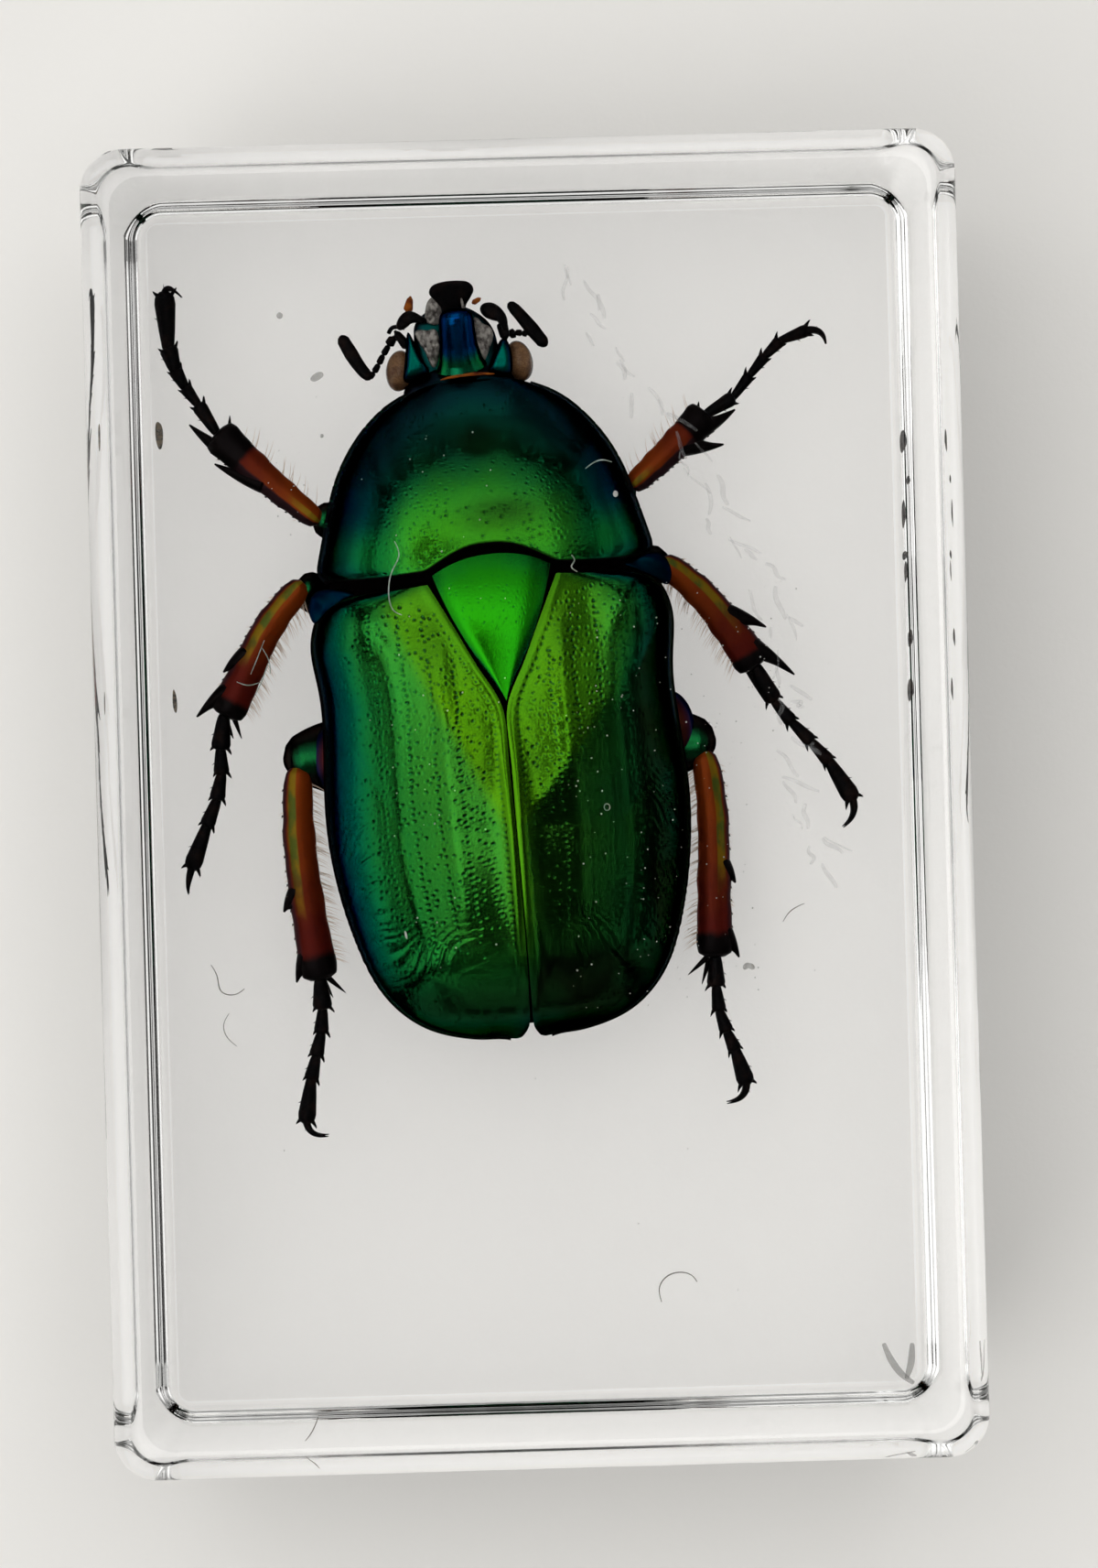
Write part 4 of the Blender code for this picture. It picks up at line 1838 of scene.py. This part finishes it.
@dataclass
class Leg:
    """One leg: thigh, shin with teeth and spurs, five foot joints and two claws."""

    name: str
    side: int
    thigh: Sequence[Point]
    thigh_half: Sequence[float]
    shin: Sequence[Point]
    shin_half: tuple[float, float]
    teeth: Sequence[tuple[float, Point]]
    spurs: Sequence[tuple[Point, Point]]
    foot: Sequence[Point]
    foot_half: Sequence[float]
    claw: Point
    fringe: int = 0
    finish: LegChitin = field(default_factory=LegChitin)

    def outward(self, way: np.ndarray) -> np.ndarray:
        """The level way square to a limb that points away from the body's middle.

        Args:
            way: The way along the limb, or one row for each place.

        Returns:
            Unit directions.
        """
        out = np.cross(way, (0, 0, 1.0))
        out /= np.linalg.norm(out, axis=-1, keepdims=True)
        return out * np.sign(out[..., :1]) * self.side

    def shin_mould(self) -> Mould:
        """The shin with its outer teeth.

        Returns:
            Its mould.
        """
        spine = Spline(self.shin)
        steps = 110
        t = np.linspace(0, 1, steps)
        near, far = self.shin_half
        half = near + (far - near) * t**1.2
        half = half * np.interp(t, [0, 0.03, 0.09, 0.2, 0.93, 0.98, 1.0], [0.35, 0.75, 0.95, 1.0, 1.06, 1.0, 0.6])
        lump = 1 + 0.025 * np.sin(t * 23) + 0.02 * np.sin(t * 41 + 1)
        middle = spine(t)
        way = np.gradient(middle, axis=0)
        out = self.outward(way)
        half_way = steps // 2
        flank = np.cross(way[half_way], (0, 0, 1.0))
        mould = Mould()
        mould.tube(middle, half * lump, half * 0.58, sides=40, side=float(np.sign(flank @ out[half_way])), along=t)
        for place, tip in self.teeth:
            k = int(place * (steps - 1))
            root = middle[k] + out[k] * half[k] * 0.45 - way[k] * 12
            bend = (root + np.array(tip)) / 2 + out[k] * 0.08
            mould.spike(root, tip, 0.34, bend, 18, 14)
            mould.spike(root + way[k] * 10, tip, 0.27, bend, 18, 14)
        for k in np.linspace(12, 100, 14).astype(int):
            root = middle[k] + out[k] * half[k] * 0.97
            mould.spike(root, root + out[k] * 0.07 + way[k] / np.linalg.norm(way[k]) * 0.1, 0.045)
        for root, tip in self.spurs:
            mould.spike(root, tip, 0.13)
        return mould

    def foot_mould(self) -> Mould:
        """Five foot joints, each with its corner spines, and the claws.

        Returns:
            Its mould.
        """
        mould = Mould()
        points = [np.array(self.shin[-1]) * 0.8 + np.array(self.foot[0]) * 0.2]
        points += [np.array(p) for p in self.foot[1:]]
        for number, (near, far) in enumerate(zip(points, points[1:])):
            half = self.foot_half[number]
            along = far - near
            long = np.linalg.norm(along)
            along = along / long
            last = number == len(points) - 2
            t = np.linspace(-0.1, 1.03, 20)
            if last:
                bulge = np.interp(t, [-0.1, 0, 0.3, 0.8, 0.95, 1.03], [0.4, 0.6, 0.8, 1.05, 0.95, 0.45])
            else:
                bulge = np.interp(t, [-0.1, 0, 0.2, 0.55, 0.85, 0.97, 1.03], [0.5, 0.66, 0.8, 0.94, 1.08, 1.0, 0.6])
            mould.tube(near + along * (t * long)[:, None], bulge * half, bulge * half * 0.8, sides=18)
            out = self.outward(along)
            for sign, reach in ((-1, 0.26), (1, 0.12)):
                root = far - along * 0.12 + out * sign * half * 0.62
                tip = far + along * reach * 0.7 + out * sign * (half + reach * 0.45)
                mould.spike(root, tip, 0.1)
                mould.spike(root + (0, 0, -0.12), tip + (0, 0, -0.16) + along * 0.06, 0.07)
            mould.spike(near + along * long * 0.5 + out * half * 0.6,
                        near + along * (long * 0.5 + 0.16) + out * (half + 0.08), 0.035)
        end, before = points[-1], points[-2]
        along = (end - before) / np.linalg.norm(end - before)
        tip = np.array(self.claw)
        bend = end + along * 0.62 + (tip - end) * 0.15
        for lift, stray in ((0.1, 0.0), (-0.22, 0.06)):
            mould.spike(end - along * 0.12 + (0, 0, lift * 0.4), tip + (stray, stray, lift * 3.4), 0.17,
                        bend + (0, 0, lift * 2.5), 26)
        mould.spike(end, end + along * 0.42, 0.035)
        return mould

    def fringe_mould(self) -> Mould:
        """Fine bristles along the shin.

        Returns:
            Its mould.
        """
        draw = np.random.default_rng(sum(map(ord, self.name)))
        spine = Spline(self.shin)
        near, far = self.shin_half
        mould = Mould()
        for number in range(self.fringe):
            t = draw.uniform(0.08, 0.92)
            spot = spine(t)
            way = spine(min(t + 0.01, 1.0)) - spot
            way /= np.linalg.norm(way)
            out = self.outward(way)
            inner = number % 4 != 0
            half = near + (far - near) * t
            long = draw.uniform(0.55, 1.0) if inner else draw.uniform(0.15, 0.32)
            out = -out if inner else out
            aim = out + way * draw.uniform(0.35, 0.8) + (0, 0, draw.uniform(-0.35, 0.35))
            root = spot + out * half * 0.9 + (0, 0, draw.uniform(-0.15, 0.15))
            tip = root + aim / np.linalg.norm(aim) * long
            mould.spike(root, tip, 0.014, (root + tip) / 2 - way * 0.06, 6, 5)
        return mould

    def build(self) -> list[tuple[bpy.types.Object, str]]:
        """Makes the pieces of the leg.

        Returns:
            Each piece with its slot.
        """
        thigh = Mould()
        t = np.linspace(0, 1, 60)
        half = Spline([[h] for h in self.thigh_half], np.linspace(0, 1, len(self.thigh_half)))(t)
        half = half * np.interp(t, [0, 0.04, 0.12, 0.92, 0.97, 1.0], [0.4, 0.8, 1.0, 1.0, 0.8, 0.3])
        thigh.tube(Spline(self.thigh)(t), half, half * 0.62, sides=32)
        thick = Cuticle(name="cuticle_thigh", shade=Shade.THIGH, roughness=0.26)
        dark = DarkChitin()
        made = [
            (thigh.cast(f"{self.name}_thigh", thick), thick.slot),
            (self.shin_mould().cast(f"{self.name}_shin", self.finish), self.finish.slot),
            (self.foot_mould().cast(f"{self.name}_foot", dark), dark.slot),
        ]
        if self.fringe:
            made.append((self.fringe_mould().cast(f"{self.name}_bristles", PaleHair()), PaleHair().slot))
        return made


def legs() -> list[Leg]:
    """The six legs as they lie in the resin.

    Returns:
        The legs, front to back, left before right.
    """
    front = LegChitin(name="front_shin_chitin", black_from=0.7, gold_until=0.36, stripe=0.0, edge_from=0.3,
                      edge=(0.02, 0.008, 0.01))
    return [
        Leg("front_left", -1,
            [(-2.0, 3.0, -2.6), (-4.5, 2.6, -2.4), (-7.6, 2.9, -1.4)], [0.8, 1.0, 0.75],
            [(-7.35, 2.75, -1.2), (-9.3, 4.75, -1.4), (-11.55, 7.35, -1.8)], (0.55, 0.82),
            [(0.6, (-11.82, 5.95, -1.7)), (0.93, (-12.76, 7.88, -1.9))],
            [((-11.0, 7.2, -1.8), (-10.86, 8.1, -1.9))],
            [(-11.75, 7.75, -1.9), (-12.25, 8.75, -2.0), (-12.75, 9.6, -2.1), (-13.12, 10.45, -2.1),
             (-13.32, 11.5, -2.2), (-13.22, 14.05, -2.3)],
            [0.33, 0.28, 0.31, 0.4, 0.47], (-12.45, 13.75, -2.4), 24, front),
        Leg("front_right", 1,
            [(2.0, 3.0, -2.6), (4.5, 2.4, -2.4), (7.3, 2.7, -1.4)], [0.8, 1.0, 0.75],
            [(7.1, 2.75, -1.2), (9.0, 4.15, -1.4), (11.0, 5.75, -1.8)], (0.55, 0.8),
            [(0.72, (11.66, 4.25, -1.7)), (0.97, (12.38, 5.8, -1.9))], [((10.6, 5.75, -1.8), (10.75, 6.35, -1.9))],
            [(11.2, 5.75, -1.9), (12.35, 6.35, -2.0), (13.25, 7.3, -2.1), (14.05, 8.1, -2.1), (14.85, 8.75, -2.2),
             (16.25, 9.12, -2.3)],
            [0.32, 0.25, 0.25, 0.27, 0.29], (16.95, 8.35, -2.4), 24, front),
        Leg("middle_left", -1,
            [(-3.5, -1.8, -3.8), (-5.8, -1.4, -3.2), (-8.7, 0.0, -1.9)], [0.9, 1.1, 0.8],
            [(-8.35, 0.05, -1.7), (-10.15, -1.75, -2.0), (-11.45, -3.75, -2.3), (-12.65, -5.6, -2.6)], (0.64, 0.82),
            [(0.68, (-12.49, -3.62, -2.2)), (0.93, (-13.93, -5.52, -2.5))],
            [((-12.25, -5.6, -2.6), (-11.98, -6.75, -2.8)), ((-12.6, -5.9, -2.6), (-12.35, -6.7, -2.9))],
            [(-12.85, -5.9, -2.7), (-13.0, -7.1, -2.8), (-13.08, -8.25, -2.9), (-13.42, -9.4, -3.0),
             (-14.02, -10.55, -3.1), (-14.95, -12.45, -3.2)],
            [0.42, 0.34, 0.34, 0.33, 0.4], (-15.22, -13.62, -3.3), 110),
        Leg("middle_right", 1,
            [(3.5, -1.8, -3.8), (5.8, -1.6, -3.2), (8.5, -0.6, -1.9)], [0.9, 1.1, 0.8],
            [(8.15, -0.75, -1.7), (9.75, -2.35, -2.0), (11.0, -4.2, -2.3), (12.05, -6.1, -2.6)], (0.64, 0.82),
            [(0.68, (12.7, -4.35, -2.2)), (0.95, (13.78, -6.68, -2.5))],
            [((11.7, -6.3, -2.6), (12.26, -7.7, -2.8))],
            [(12.2, -6.4, -2.7), (12.72, -7.75, -2.8), (13.45, -8.85, -2.9), (14.25, -9.85, -3.0),
             (14.98, -10.85, -3.1), (15.92, -12.75, -3.2)],
            [0.4, 0.31, 0.31, 0.31, 0.42], (15.28, -13.98, -3.3), 90),
        Leg("hind_left", -1,
            [(-3.0, -8.4, -3.8), (-6.0, -8.3, -3.4), (-8.6, -8.0, -2.8), (-10.15, -8.05, -2.3)],
            [1.2, 1.8, 1.75, 0.85],
            [(-9.55, -8.3, -2.1), (-9.8, -10.5, -2.4), (-9.85, -14.2, -2.7), (-9.6, -18.2, -3.0)], (0.7, 0.82),
            [(0.68, (-10.95, -14.92, -2.7)), (0.97, (-10.72, -18.22, -3.0))],
            [((-9.3, -18.1, -3.0), (-8.52, -18.95, -3.2)), ((-9.5, -18.2, -3.0), (-9.12, -19.1, -3.3))],
            [(-9.72, -18.2, -3.0), (-9.66, -19.55, -3.1), (-9.85, -20.65, -3.2), (-10.2, -21.7, -3.3),
             (-10.55, -22.75, -3.4), (-11.0, -24.7, -3.5)],
            [0.42, 0.32, 0.32, 0.32, 0.4], (-10.05, -25.45, -3.6), 130),
        Leg("hind_right", 1,
            [(3.0, -9.2, -3.8), (6.0, -9.3, -3.4), (8.2, -9.2, -2.8), (9.75, -9.45, -2.3)], [1.2, 1.8, 1.7, 0.85],
            [(9.15, -9.7, -2.1), (9.28, -12.0, -2.4), (9.02, -15.6, -2.7), (8.68, -19.25, -3.0)], (0.68, 0.8),
            [(0.66, (9.98, -15.95, -2.7)), (0.97, (9.78, -19.4, -3.0))],
            [((8.35, -19.2, -3.0), (7.35, -19.95, -3.2)), ((8.4, -19.3, -3.0), (7.95, -20.45, -3.3))],
            [(8.72, -19.2, -3.0), (8.58, -20.6, -3.1), (8.6, -21.75, -3.2), (8.85, -22.75, -3.3),
             (9.15, -23.65, -3.4), (9.52, -25.3, -3.5)],
            [0.4, 0.31, 0.31, 0.31, 0.4], (8.48, -26.08, -3.6), 120),
    ]


# --- What was caught in the resin ---


@dataclass(frozen=True)
class Fleck(Finish):
    """A speck, flake or smear caught in the resin."""

    name: str = "fleck"
    slot: str = "hair"
    colour: Colour = (0.75, 0.72, 0.68)
    other: Colour = (0.55, 0.5, 0.45)
    cover: float = 1.0

    def lay(self, graph: Graph) -> None:
        """Builds the nodes.

        Args:
            graph: The empty node tree.
        """
        patch = graph.noise(4.0, 3.0)
        graph.principled(
            Base_Color=graph.blend(patch.rise(0.4, 0.6), self.colour, self.other),
            Roughness=0.5,
            Specular_IOR_Level=0.1,
            Alpha=self.cover,
            Normal=graph.bump(patch, 0.02),
        )


@dataclass
class Caught:
    """Fibres, specks, a bubble, flakes and flow lines, with a painted glint and painted dark reflections by the
    right wall, in the block's own frame.
    """

    over_back: float = 14.9

    def strand(self, mould: Mould, line: Sequence[tuple[float, float]], depth: float, radius: float) -> None:
        """Adds one fibre.

        Args:
            mould: Where it goes.
            line: Points it passes through, from above.
            depth: Its height in the block.
            radius: Its radius.
        """
        t = np.linspace(0, 1, 40)
        flat = Spline(line)(t)
        spine = np.column_stack([flat, depth + 0.15 * np.sin(t * 7 + line[0][0])])
        thin = radius * (0.6 + 0.4 * np.sin(t * math.pi))
        mould.tube(spine, thin, thin * 0.8, sides=6)

    def fibres(self) -> Mould:
        """The pale fibres over the beetle's back and legs.

        Returns:
            Its mould.
        """
        mould, top = Mould(), self.over_back
        for line, depth, radius in (
            (((-6.03, 12.1), (-5.84, 11.46), (-6.15, 10.79), (-6.34, 10.07), (-6.32, 9.34), (-6.12, 8.91),
              (-5.78, 8.73)), top - 0.6, 0.03),
            (((2.74, 15.14), (3.09, 15.39), (3.52, 15.51), (3.94, 15.41)), top, 0.03),
            (((1.99, 11.24), (2.12, 10.98), (1.98, 10.73), (2.23, 10.47)), top, 0.03),
            (((-12.18, 7.84), (-12.5, 7.1), (-12.85, 6.3)), 8.6, 0.024),
            (((-12.04, 6.78), (-12.3, 6.1), (-12.67, 5.32)), 8.6, 0.024),
            (((-12.3, 7.5), (-12.0, 6.9), (-11.95, 6.3)), 8.6, 0.024),
            (((-13.5, 5.97), (-13.0, 5.8), (-12.5, 5.9)), 8.6, 0.024),
        ):
            self.strand(mould, line, depth, radius)
        return mould

    def hairs(self) -> Mould:
        """The darker hairs in the clear resin behind the beetle.

        Returns:
            Its mould.
        """
        mould = Mould()
        for line, depth, radius in (
            (((5.16, -22.84), (5.09, -22.12), (5.45, -21.66), (6.04, -21.51), (6.59, -21.69), (6.8, -21.96)),
             14.0, 0.028),
            (((-14.96, -6.96), (-14.68, -7.56), (-14.53, -8.16), (-13.9, -8.34), (-13.47, -8.1)), 12.0, 0.026),
            (((-14.2, -9.2), (-14.45, -9.7), (-14.3, -10.3), (-13.9, -10.7)), 12.0, 0.02),
            (((-10.64, -27.7), (-10.95, -28.37), (-11.26, -28.74)), 12.0, 0.026),
            (((12.2, -4.9), (11.6, -5.2), (11.2, -5.7)), 13.0, 0.022),
        ):
            self.strand(mould, line, depth, radius)
        return mould

    def specks(self) -> Mould:
        """White specks over the back, legs and clear resin, with a heart-shaped flake and a painted glint.

        Returns:
            Its mould.
        """
        draw = np.random.default_rng(91)
        mould = Mould()
        mould.blob((9.5, -7.7, 12.0), (0.2, 0.13, 0.06), 40, 12, 8)
        mould.blob((9.72, -7.72, 12.0), (0.19, 0.13, 0.06), -40, 12, 8)
        mould.blob((4.07, 13.96, self.over_back), (0.12, 0.15, 0.05), 0, 12, 8)
        # A thin white streak just over the left wing case: a painted glint.
        mould.blob((-6.01, -5.82, 13.4), (0.05, 0.2, 0.04), 12, 10, 6)
        mould.blob((-9.2, 17.0, 13.6), (0.09, 0.09, 0.05), 0, 10, 6)
        for box, count, depth in (((1.5, 7.0, -9.5, 9.5), 90, 14.6), ((-7.5, -0.5, -8.5, 18.0), 45, 14.6),
                                  ((6.3, 10.6, -9.0, 4.0), 40, 8.2), ((-12.5, -8.5, 12.5, 19.0), 16, 9.2),
                                  ((7.0, 12.0, 1.5, 10.0), 40, 8.6), ((-16.0, 15.0, -27.0, 26.0), 26, 12.0)):
            for _ in range(count):
                spot = (draw.uniform(*box[:2]), draw.uniform(*box[2:]), depth + draw.uniform(-0.3, 0.3))
                size = draw.uniform(0.018, 0.048)
                mould.blob(spot, (size, size * draw.uniform(0.6, 1.0), size * 0.6), draw.uniform(0, 90), 7, 5)
        return mould

    def bubble(self) -> Mould:
        """The rim of a tiny bubble over the right wing case.

        Returns:
            Its mould.
        """
        mould = Mould()
        turn = np.linspace(0, 2 * math.pi, 37)
        ring = np.column_stack([3.29 + 0.13 * np.cos(turn), -0.25 + 0.15 * np.sin(turn), 14.9 + 0 * turn])
        mould.tube(ring, 0.02, 0.02, sides=6)
        return mould

    def smears(self) -> Mould:
        """Grey smears and faint folds in the resin.

        Returns:
            Its mould.
        """
        mould = Mould()
        curl = [(-9.75, 19.65), (-9.45, 19.95), (-9.1, 20.0), (-9.05, 19.75), (-9.5, 19.5)]
        mould.pillow(curl, 0.03, lambda x, y: 12.0)
        mould.pillow([(-11.2, 22.6), (-11.0, 22.8), (-10.8, 22.6), (-11.0, 22.4)], 0.03, lambda x, y: 12.0)
        self.strand(mould, [(15.39, -25.27), (15.7, -26.0), (16.2, -26.7), (16.7, -27.1)], 10.0, 0.16)
        self.strand(mould, [(16.7, -25.3), (16.6, -26.2), (16.4, -26.9)], 10.0, 0.16)
        return mould

    def folds(self) -> Mould:
        """Faint flow lines where the pours of resin met, right of the head and shield.

        Returns:
            Its mould.
        """
        draw = np.random.default_rng(17)
        mould = Mould()
        track = Spline([(1.9, 24.9), (4.6, 19.0), (8.6, 12.6), (10.6, 8.0), (11.6, 0.5), (12.6, -3.6)])
        for number in range(46):
            x, y = track((number + draw.uniform(0, 1)) / 46) + (draw.uniform(-0.3, 1.3), draw.uniform(-0.4, 0.4))
            long = draw.uniform(0.5, 1.7)
            lean = math.radians(-58 + draw.uniform(-38, 38))
            step_x, step_y = math.cos(lean) * long / 3, math.sin(lean) * long / 3
            line = [(x + k * step_x + draw.uniform(-0.14, 0.14), y + k * step_y) for k in range(4)]
            self.strand(mould, line, 15.2 + draw.uniform(-0.3, 0.3), draw.uniform(0.04, 0.12))
        return mould

    def flakes(self) -> Mould:
        """Dark jagged flakes along the right wall: painted dark reflections of the wall.

        Returns:
            Its mould.
        """
        draw = np.random.default_rng(23)
        mould = Mould()
        for y, tall in ((15.6, 1.3), (14.1, 0.5), (12.0, 1.6), (10.7, 0.5), (9.6, 1.2), (6.6, 1.0), (4.1, 1.3)):
            wide = draw.uniform(0.15, 0.42)
            x = 17.6 + draw.uniform(-0.3, 0.2)
            ring = [(x - wide / 2, y), (x + wide * 0.2, y + tall * 0.28), (x + wide / 2, y + tall * 0.5),
                    (x + wide * 0.1, y + tall), (x - wide * 0.6, y + tall * 0.75)]
            mould.pillow(ring, 0.05, lambda a, b, z=draw.uniform(6.0, 11.0): z)
        return mould

    def chips(self) -> Mould:
        """The tan flakes at the left wall.

        Returns:
            Its mould.
        """
        mould = Mould()
        high = [(-16.95, 18.2), (-16.6, 17.9), (-16.65, 16.9), (-16.85, 16.75), (-17.0, 17.4)]
        low = [(-16.5, 5.9), (-16.3, 5.3), (-16.35, 4.5), (-16.55, 4.9)]
        for outline in (high, low):
            mould.pillow(outline, 0.05, lambda x, y: 7.0)
        return mould

    def build(self) -> None:
        """Makes every caught thing and settles it in the block."""
        for name, mould, finish, colour, other, cover in (
            ("caught_fibres", self.fibres(), "white_fibre", (0.55, 0.62, 0.58), (0.35, 0.42, 0.36), 1.0),
            ("caught_hairs", self.hairs(), "hair_in_resin", (0.22, 0.2, 0.17), (0.3, 0.27, 0.23), 0.7),
            ("specks", self.specks(), "white_specks_and_painted_glint", (0.72, 0.72, 0.7), (0.5, 0.48, 0.45), 1.0),
            ("bubble_rim", self.bubble(), "bubble_edge", (0.3, 0.36, 0.33), (0.55, 0.5, 0.45), 1.0),
            ("smears", self.smears(), "grey_smear", (0.25, 0.24, 0.22), (0.4, 0.39, 0.36), 0.35),
            ("flow_folds", self.folds(), "flow_fold", (0.9, 0.91, 0.93), (0.4, 0.4, 0.42), 0.1),
            # The dark flakes by the right wall are painted dark reflections.
            ("wall_dark_reflections", self.flakes(), "painted_dark_reflection", (0.015, 0.014, 0.016), (0.1, 0.08, 0.07), 0.7),
            ("wall_chips", self.chips(), "tan_chip", (0.2, 0.15, 0.09), (0.1, 0.08, 0.06), 0.75),
        ):
            fleck = Fleck(name=finish, colour=colour, other=other, cover=cover)
            settle(mould.cast(name, fleck))


# --- Floor, light and camera ---


@dataclass(frozen=True)
class PaleFloor(Finish):
    """Plain pale paper, with a pad of light straight under the block."""

    name: str = "pale_floor"
    slot: str = ""
    colour: Colour = (0.82, 0.81, 0.79)
    pad: Colour = (0.6, 0.59, 0.575)
    glow: float = 0.42
    pad_half: tuple[float, float] = (0.0182, 0.0285)

    def lay(self, graph: Graph) -> None:
        """Builds the nodes.

        Args:
            graph: The empty node tree.
        """
        fibre = graph.noise(3.0, 3.0)
        way = graph.place()
        x, y = (graph.axis(way, name) / half for name, half in zip("XY", self.pad_half))
        under = 1.0 - (x**20.0 + y**20.0).rise(1.5, 2.6)
        shade = graph.blend(under, self.colour, self.pad)
        shade = graph.blend(fibre * 0.02, shade, (0.5, 0.49, 0.48))
        light = graph.blend(under, (0.0, 0.0, 0.0), self.pad)
        graph.principled(
            Base_Color=shade, Roughness=0.9, Emission_Color=light, Emission_Strength=self.glow / 0.6,
            Normal=graph.bump(fibre, 0.01),
        )


@dataclass
class Studio:
    """The pale floor, the sky that lights it and the camera over the block."""

    floor_half: float = 0.9
    floor_gap: float = 0.00002
    distance: float = 0.28
    cover: float = 0.07035
    aim: tuple[float, float] = (0.64, 0.87)
    aside: float = -3.7
    roll: float = 1.6
    sensor: float = 36.0

    def floor(self) -> None:
        """Lays the floor just under the block."""
        h = self.floor_half / MM
        mould = Mould()
        mould.add(np.array([(-h, -h, 0), (h, -h, 0), (h, h, 0), (-h, h, 0)]), [(0, 1, 2, 3)])
        floor = mould.cast("floor", PaleFloor(), smooth=False)
        floor.location.z = -self.floor_gap
        floor.data.materials[0].cycles.emission_sampling = "NONE"

    def sky(self) -> None:
        """Lights the scene from all round."""
        world = bpy.data.worlds.new("soft_studio")
        world.cycles.sampling_method = "NONE"
        bpy.context.scene.world = world
        graph = Graph(world)
        way = graph.node("ShaderNodeTexCoord").outputs["Generated"]
        x, y, z = (graph.axis(way, name) for name in "XYZ")
        low = 1.0 - z.rise(0.12, 0.42)
        sides = (x * x).rise(0.25, 0.8)
        ends = (y * -1.0).rise(-0.5, 0.5) * 0.75 + 0.25
        rim = sides * (x.rise(-0.3, 0.3) * 0.35 + 0.75) + ends * (1.0 - sides)
        lit = (y - x * 0.55).rise(-0.43, -0.31) * (1.0 - y.rise(0.15, 0.7) * 0.6)
        beside = ((x + 0.05) ** 2.0).rise(0.1, 0.24)
        high = lit * (1.0 - beside * (0.45 + x.rise(-0.1, 0.1) * 0.37)) * 2.6 + 0.05
        card = (x * x + y * y).rise(0.016, 0.04)
        power = rim * low + high * card * (1.0 - low)
        back = graph.node("ShaderNodeBackground", inputs={"Color": (1.0, 0.99, 0.97), "Strength": power})
        graph.node("ShaderNodeOutputWorld", inputs={"Surface": back.outputs[0]})

    def camera(self, top: float) -> None:
        """Sets the camera over the front face.

        Args:
            top: The front face's height, in metres.
        """
        data = bpy.data.cameras.new("over_the_block")
        data.sensor_width = self.sensor
        data.lens = self.sensor * self.distance / self.cover
        data.clip_start = 0.01
        data.clip_end = 10.0
        camera = bpy.data.objects.new("over_the_block", data)
        bpy.context.scene.collection.objects.link(camera)
        target = Vector((self.aim[0] * MM, self.aim[1] * MM, top))
        spot = target + Vector((self.aside * MM, 0.0, self.distance))
        back = (spot - target).normalized()
        lean = math.radians(self.roll)
        up = Vector((math.sin(lean), math.cos(lean), 0.0))
        right = up.cross(back).normalized()
        up = back.cross(right)
        camera.matrix_world = Matrix.Translation(spot) @ Matrix((right, up, back)).transposed().to_4x4()
        bpy.context.scene.camera = camera


def main() -> None:
    """Builds the block, the beetle and the studio, in order."""
    logging.basicConfig(level=logging.INFO, format="%(name)s: %(message)s")
    bpy.context.scene.view_settings.view_transform = "Standard"
    cycles = bpy.context.scene.cycles
    cycles.max_bounces = cycles.transmission_bounces = 8
    cycles.diffuse_bounces = 2
    block = ResinBlock()
    block.build()
    for side, name in ((-1, "wing_case_left"), (1, "wing_case_right")):
        finish = Cuticle(name="cuticle_wing_case", shade=Shade.WING_CASE)
        settle(WingCase(side=side).mould().cast(name, finish), beetle_place(WING_TURN))
    finish = Cuticle(name="cuticle_pronotum", shade=Shade.PRONOTUM)
    settle(Pronotum().mould().cast("pronotum", finish), beetle_place(PRONOTUM_TURN))
    finish = Cuticle(name="cuticle_scutellum", shade=Shade.SCUTELLUM)
    settle(Scutellum().mould().cast("scutellum", finish), beetle_place())
    made = SidePlates().build() + [(Trunk().build(), "cuticle")] + Head().build()
    for leg in legs():
        made += leg.build()
    for piece, slot in made:
        settle(piece, beetle_place())
    Caught().build()
    studio = Studio()
    studio.floor()
    studio.sky()
    studio.camera(block.height * MM)


if __name__ == "__main__":
    main()
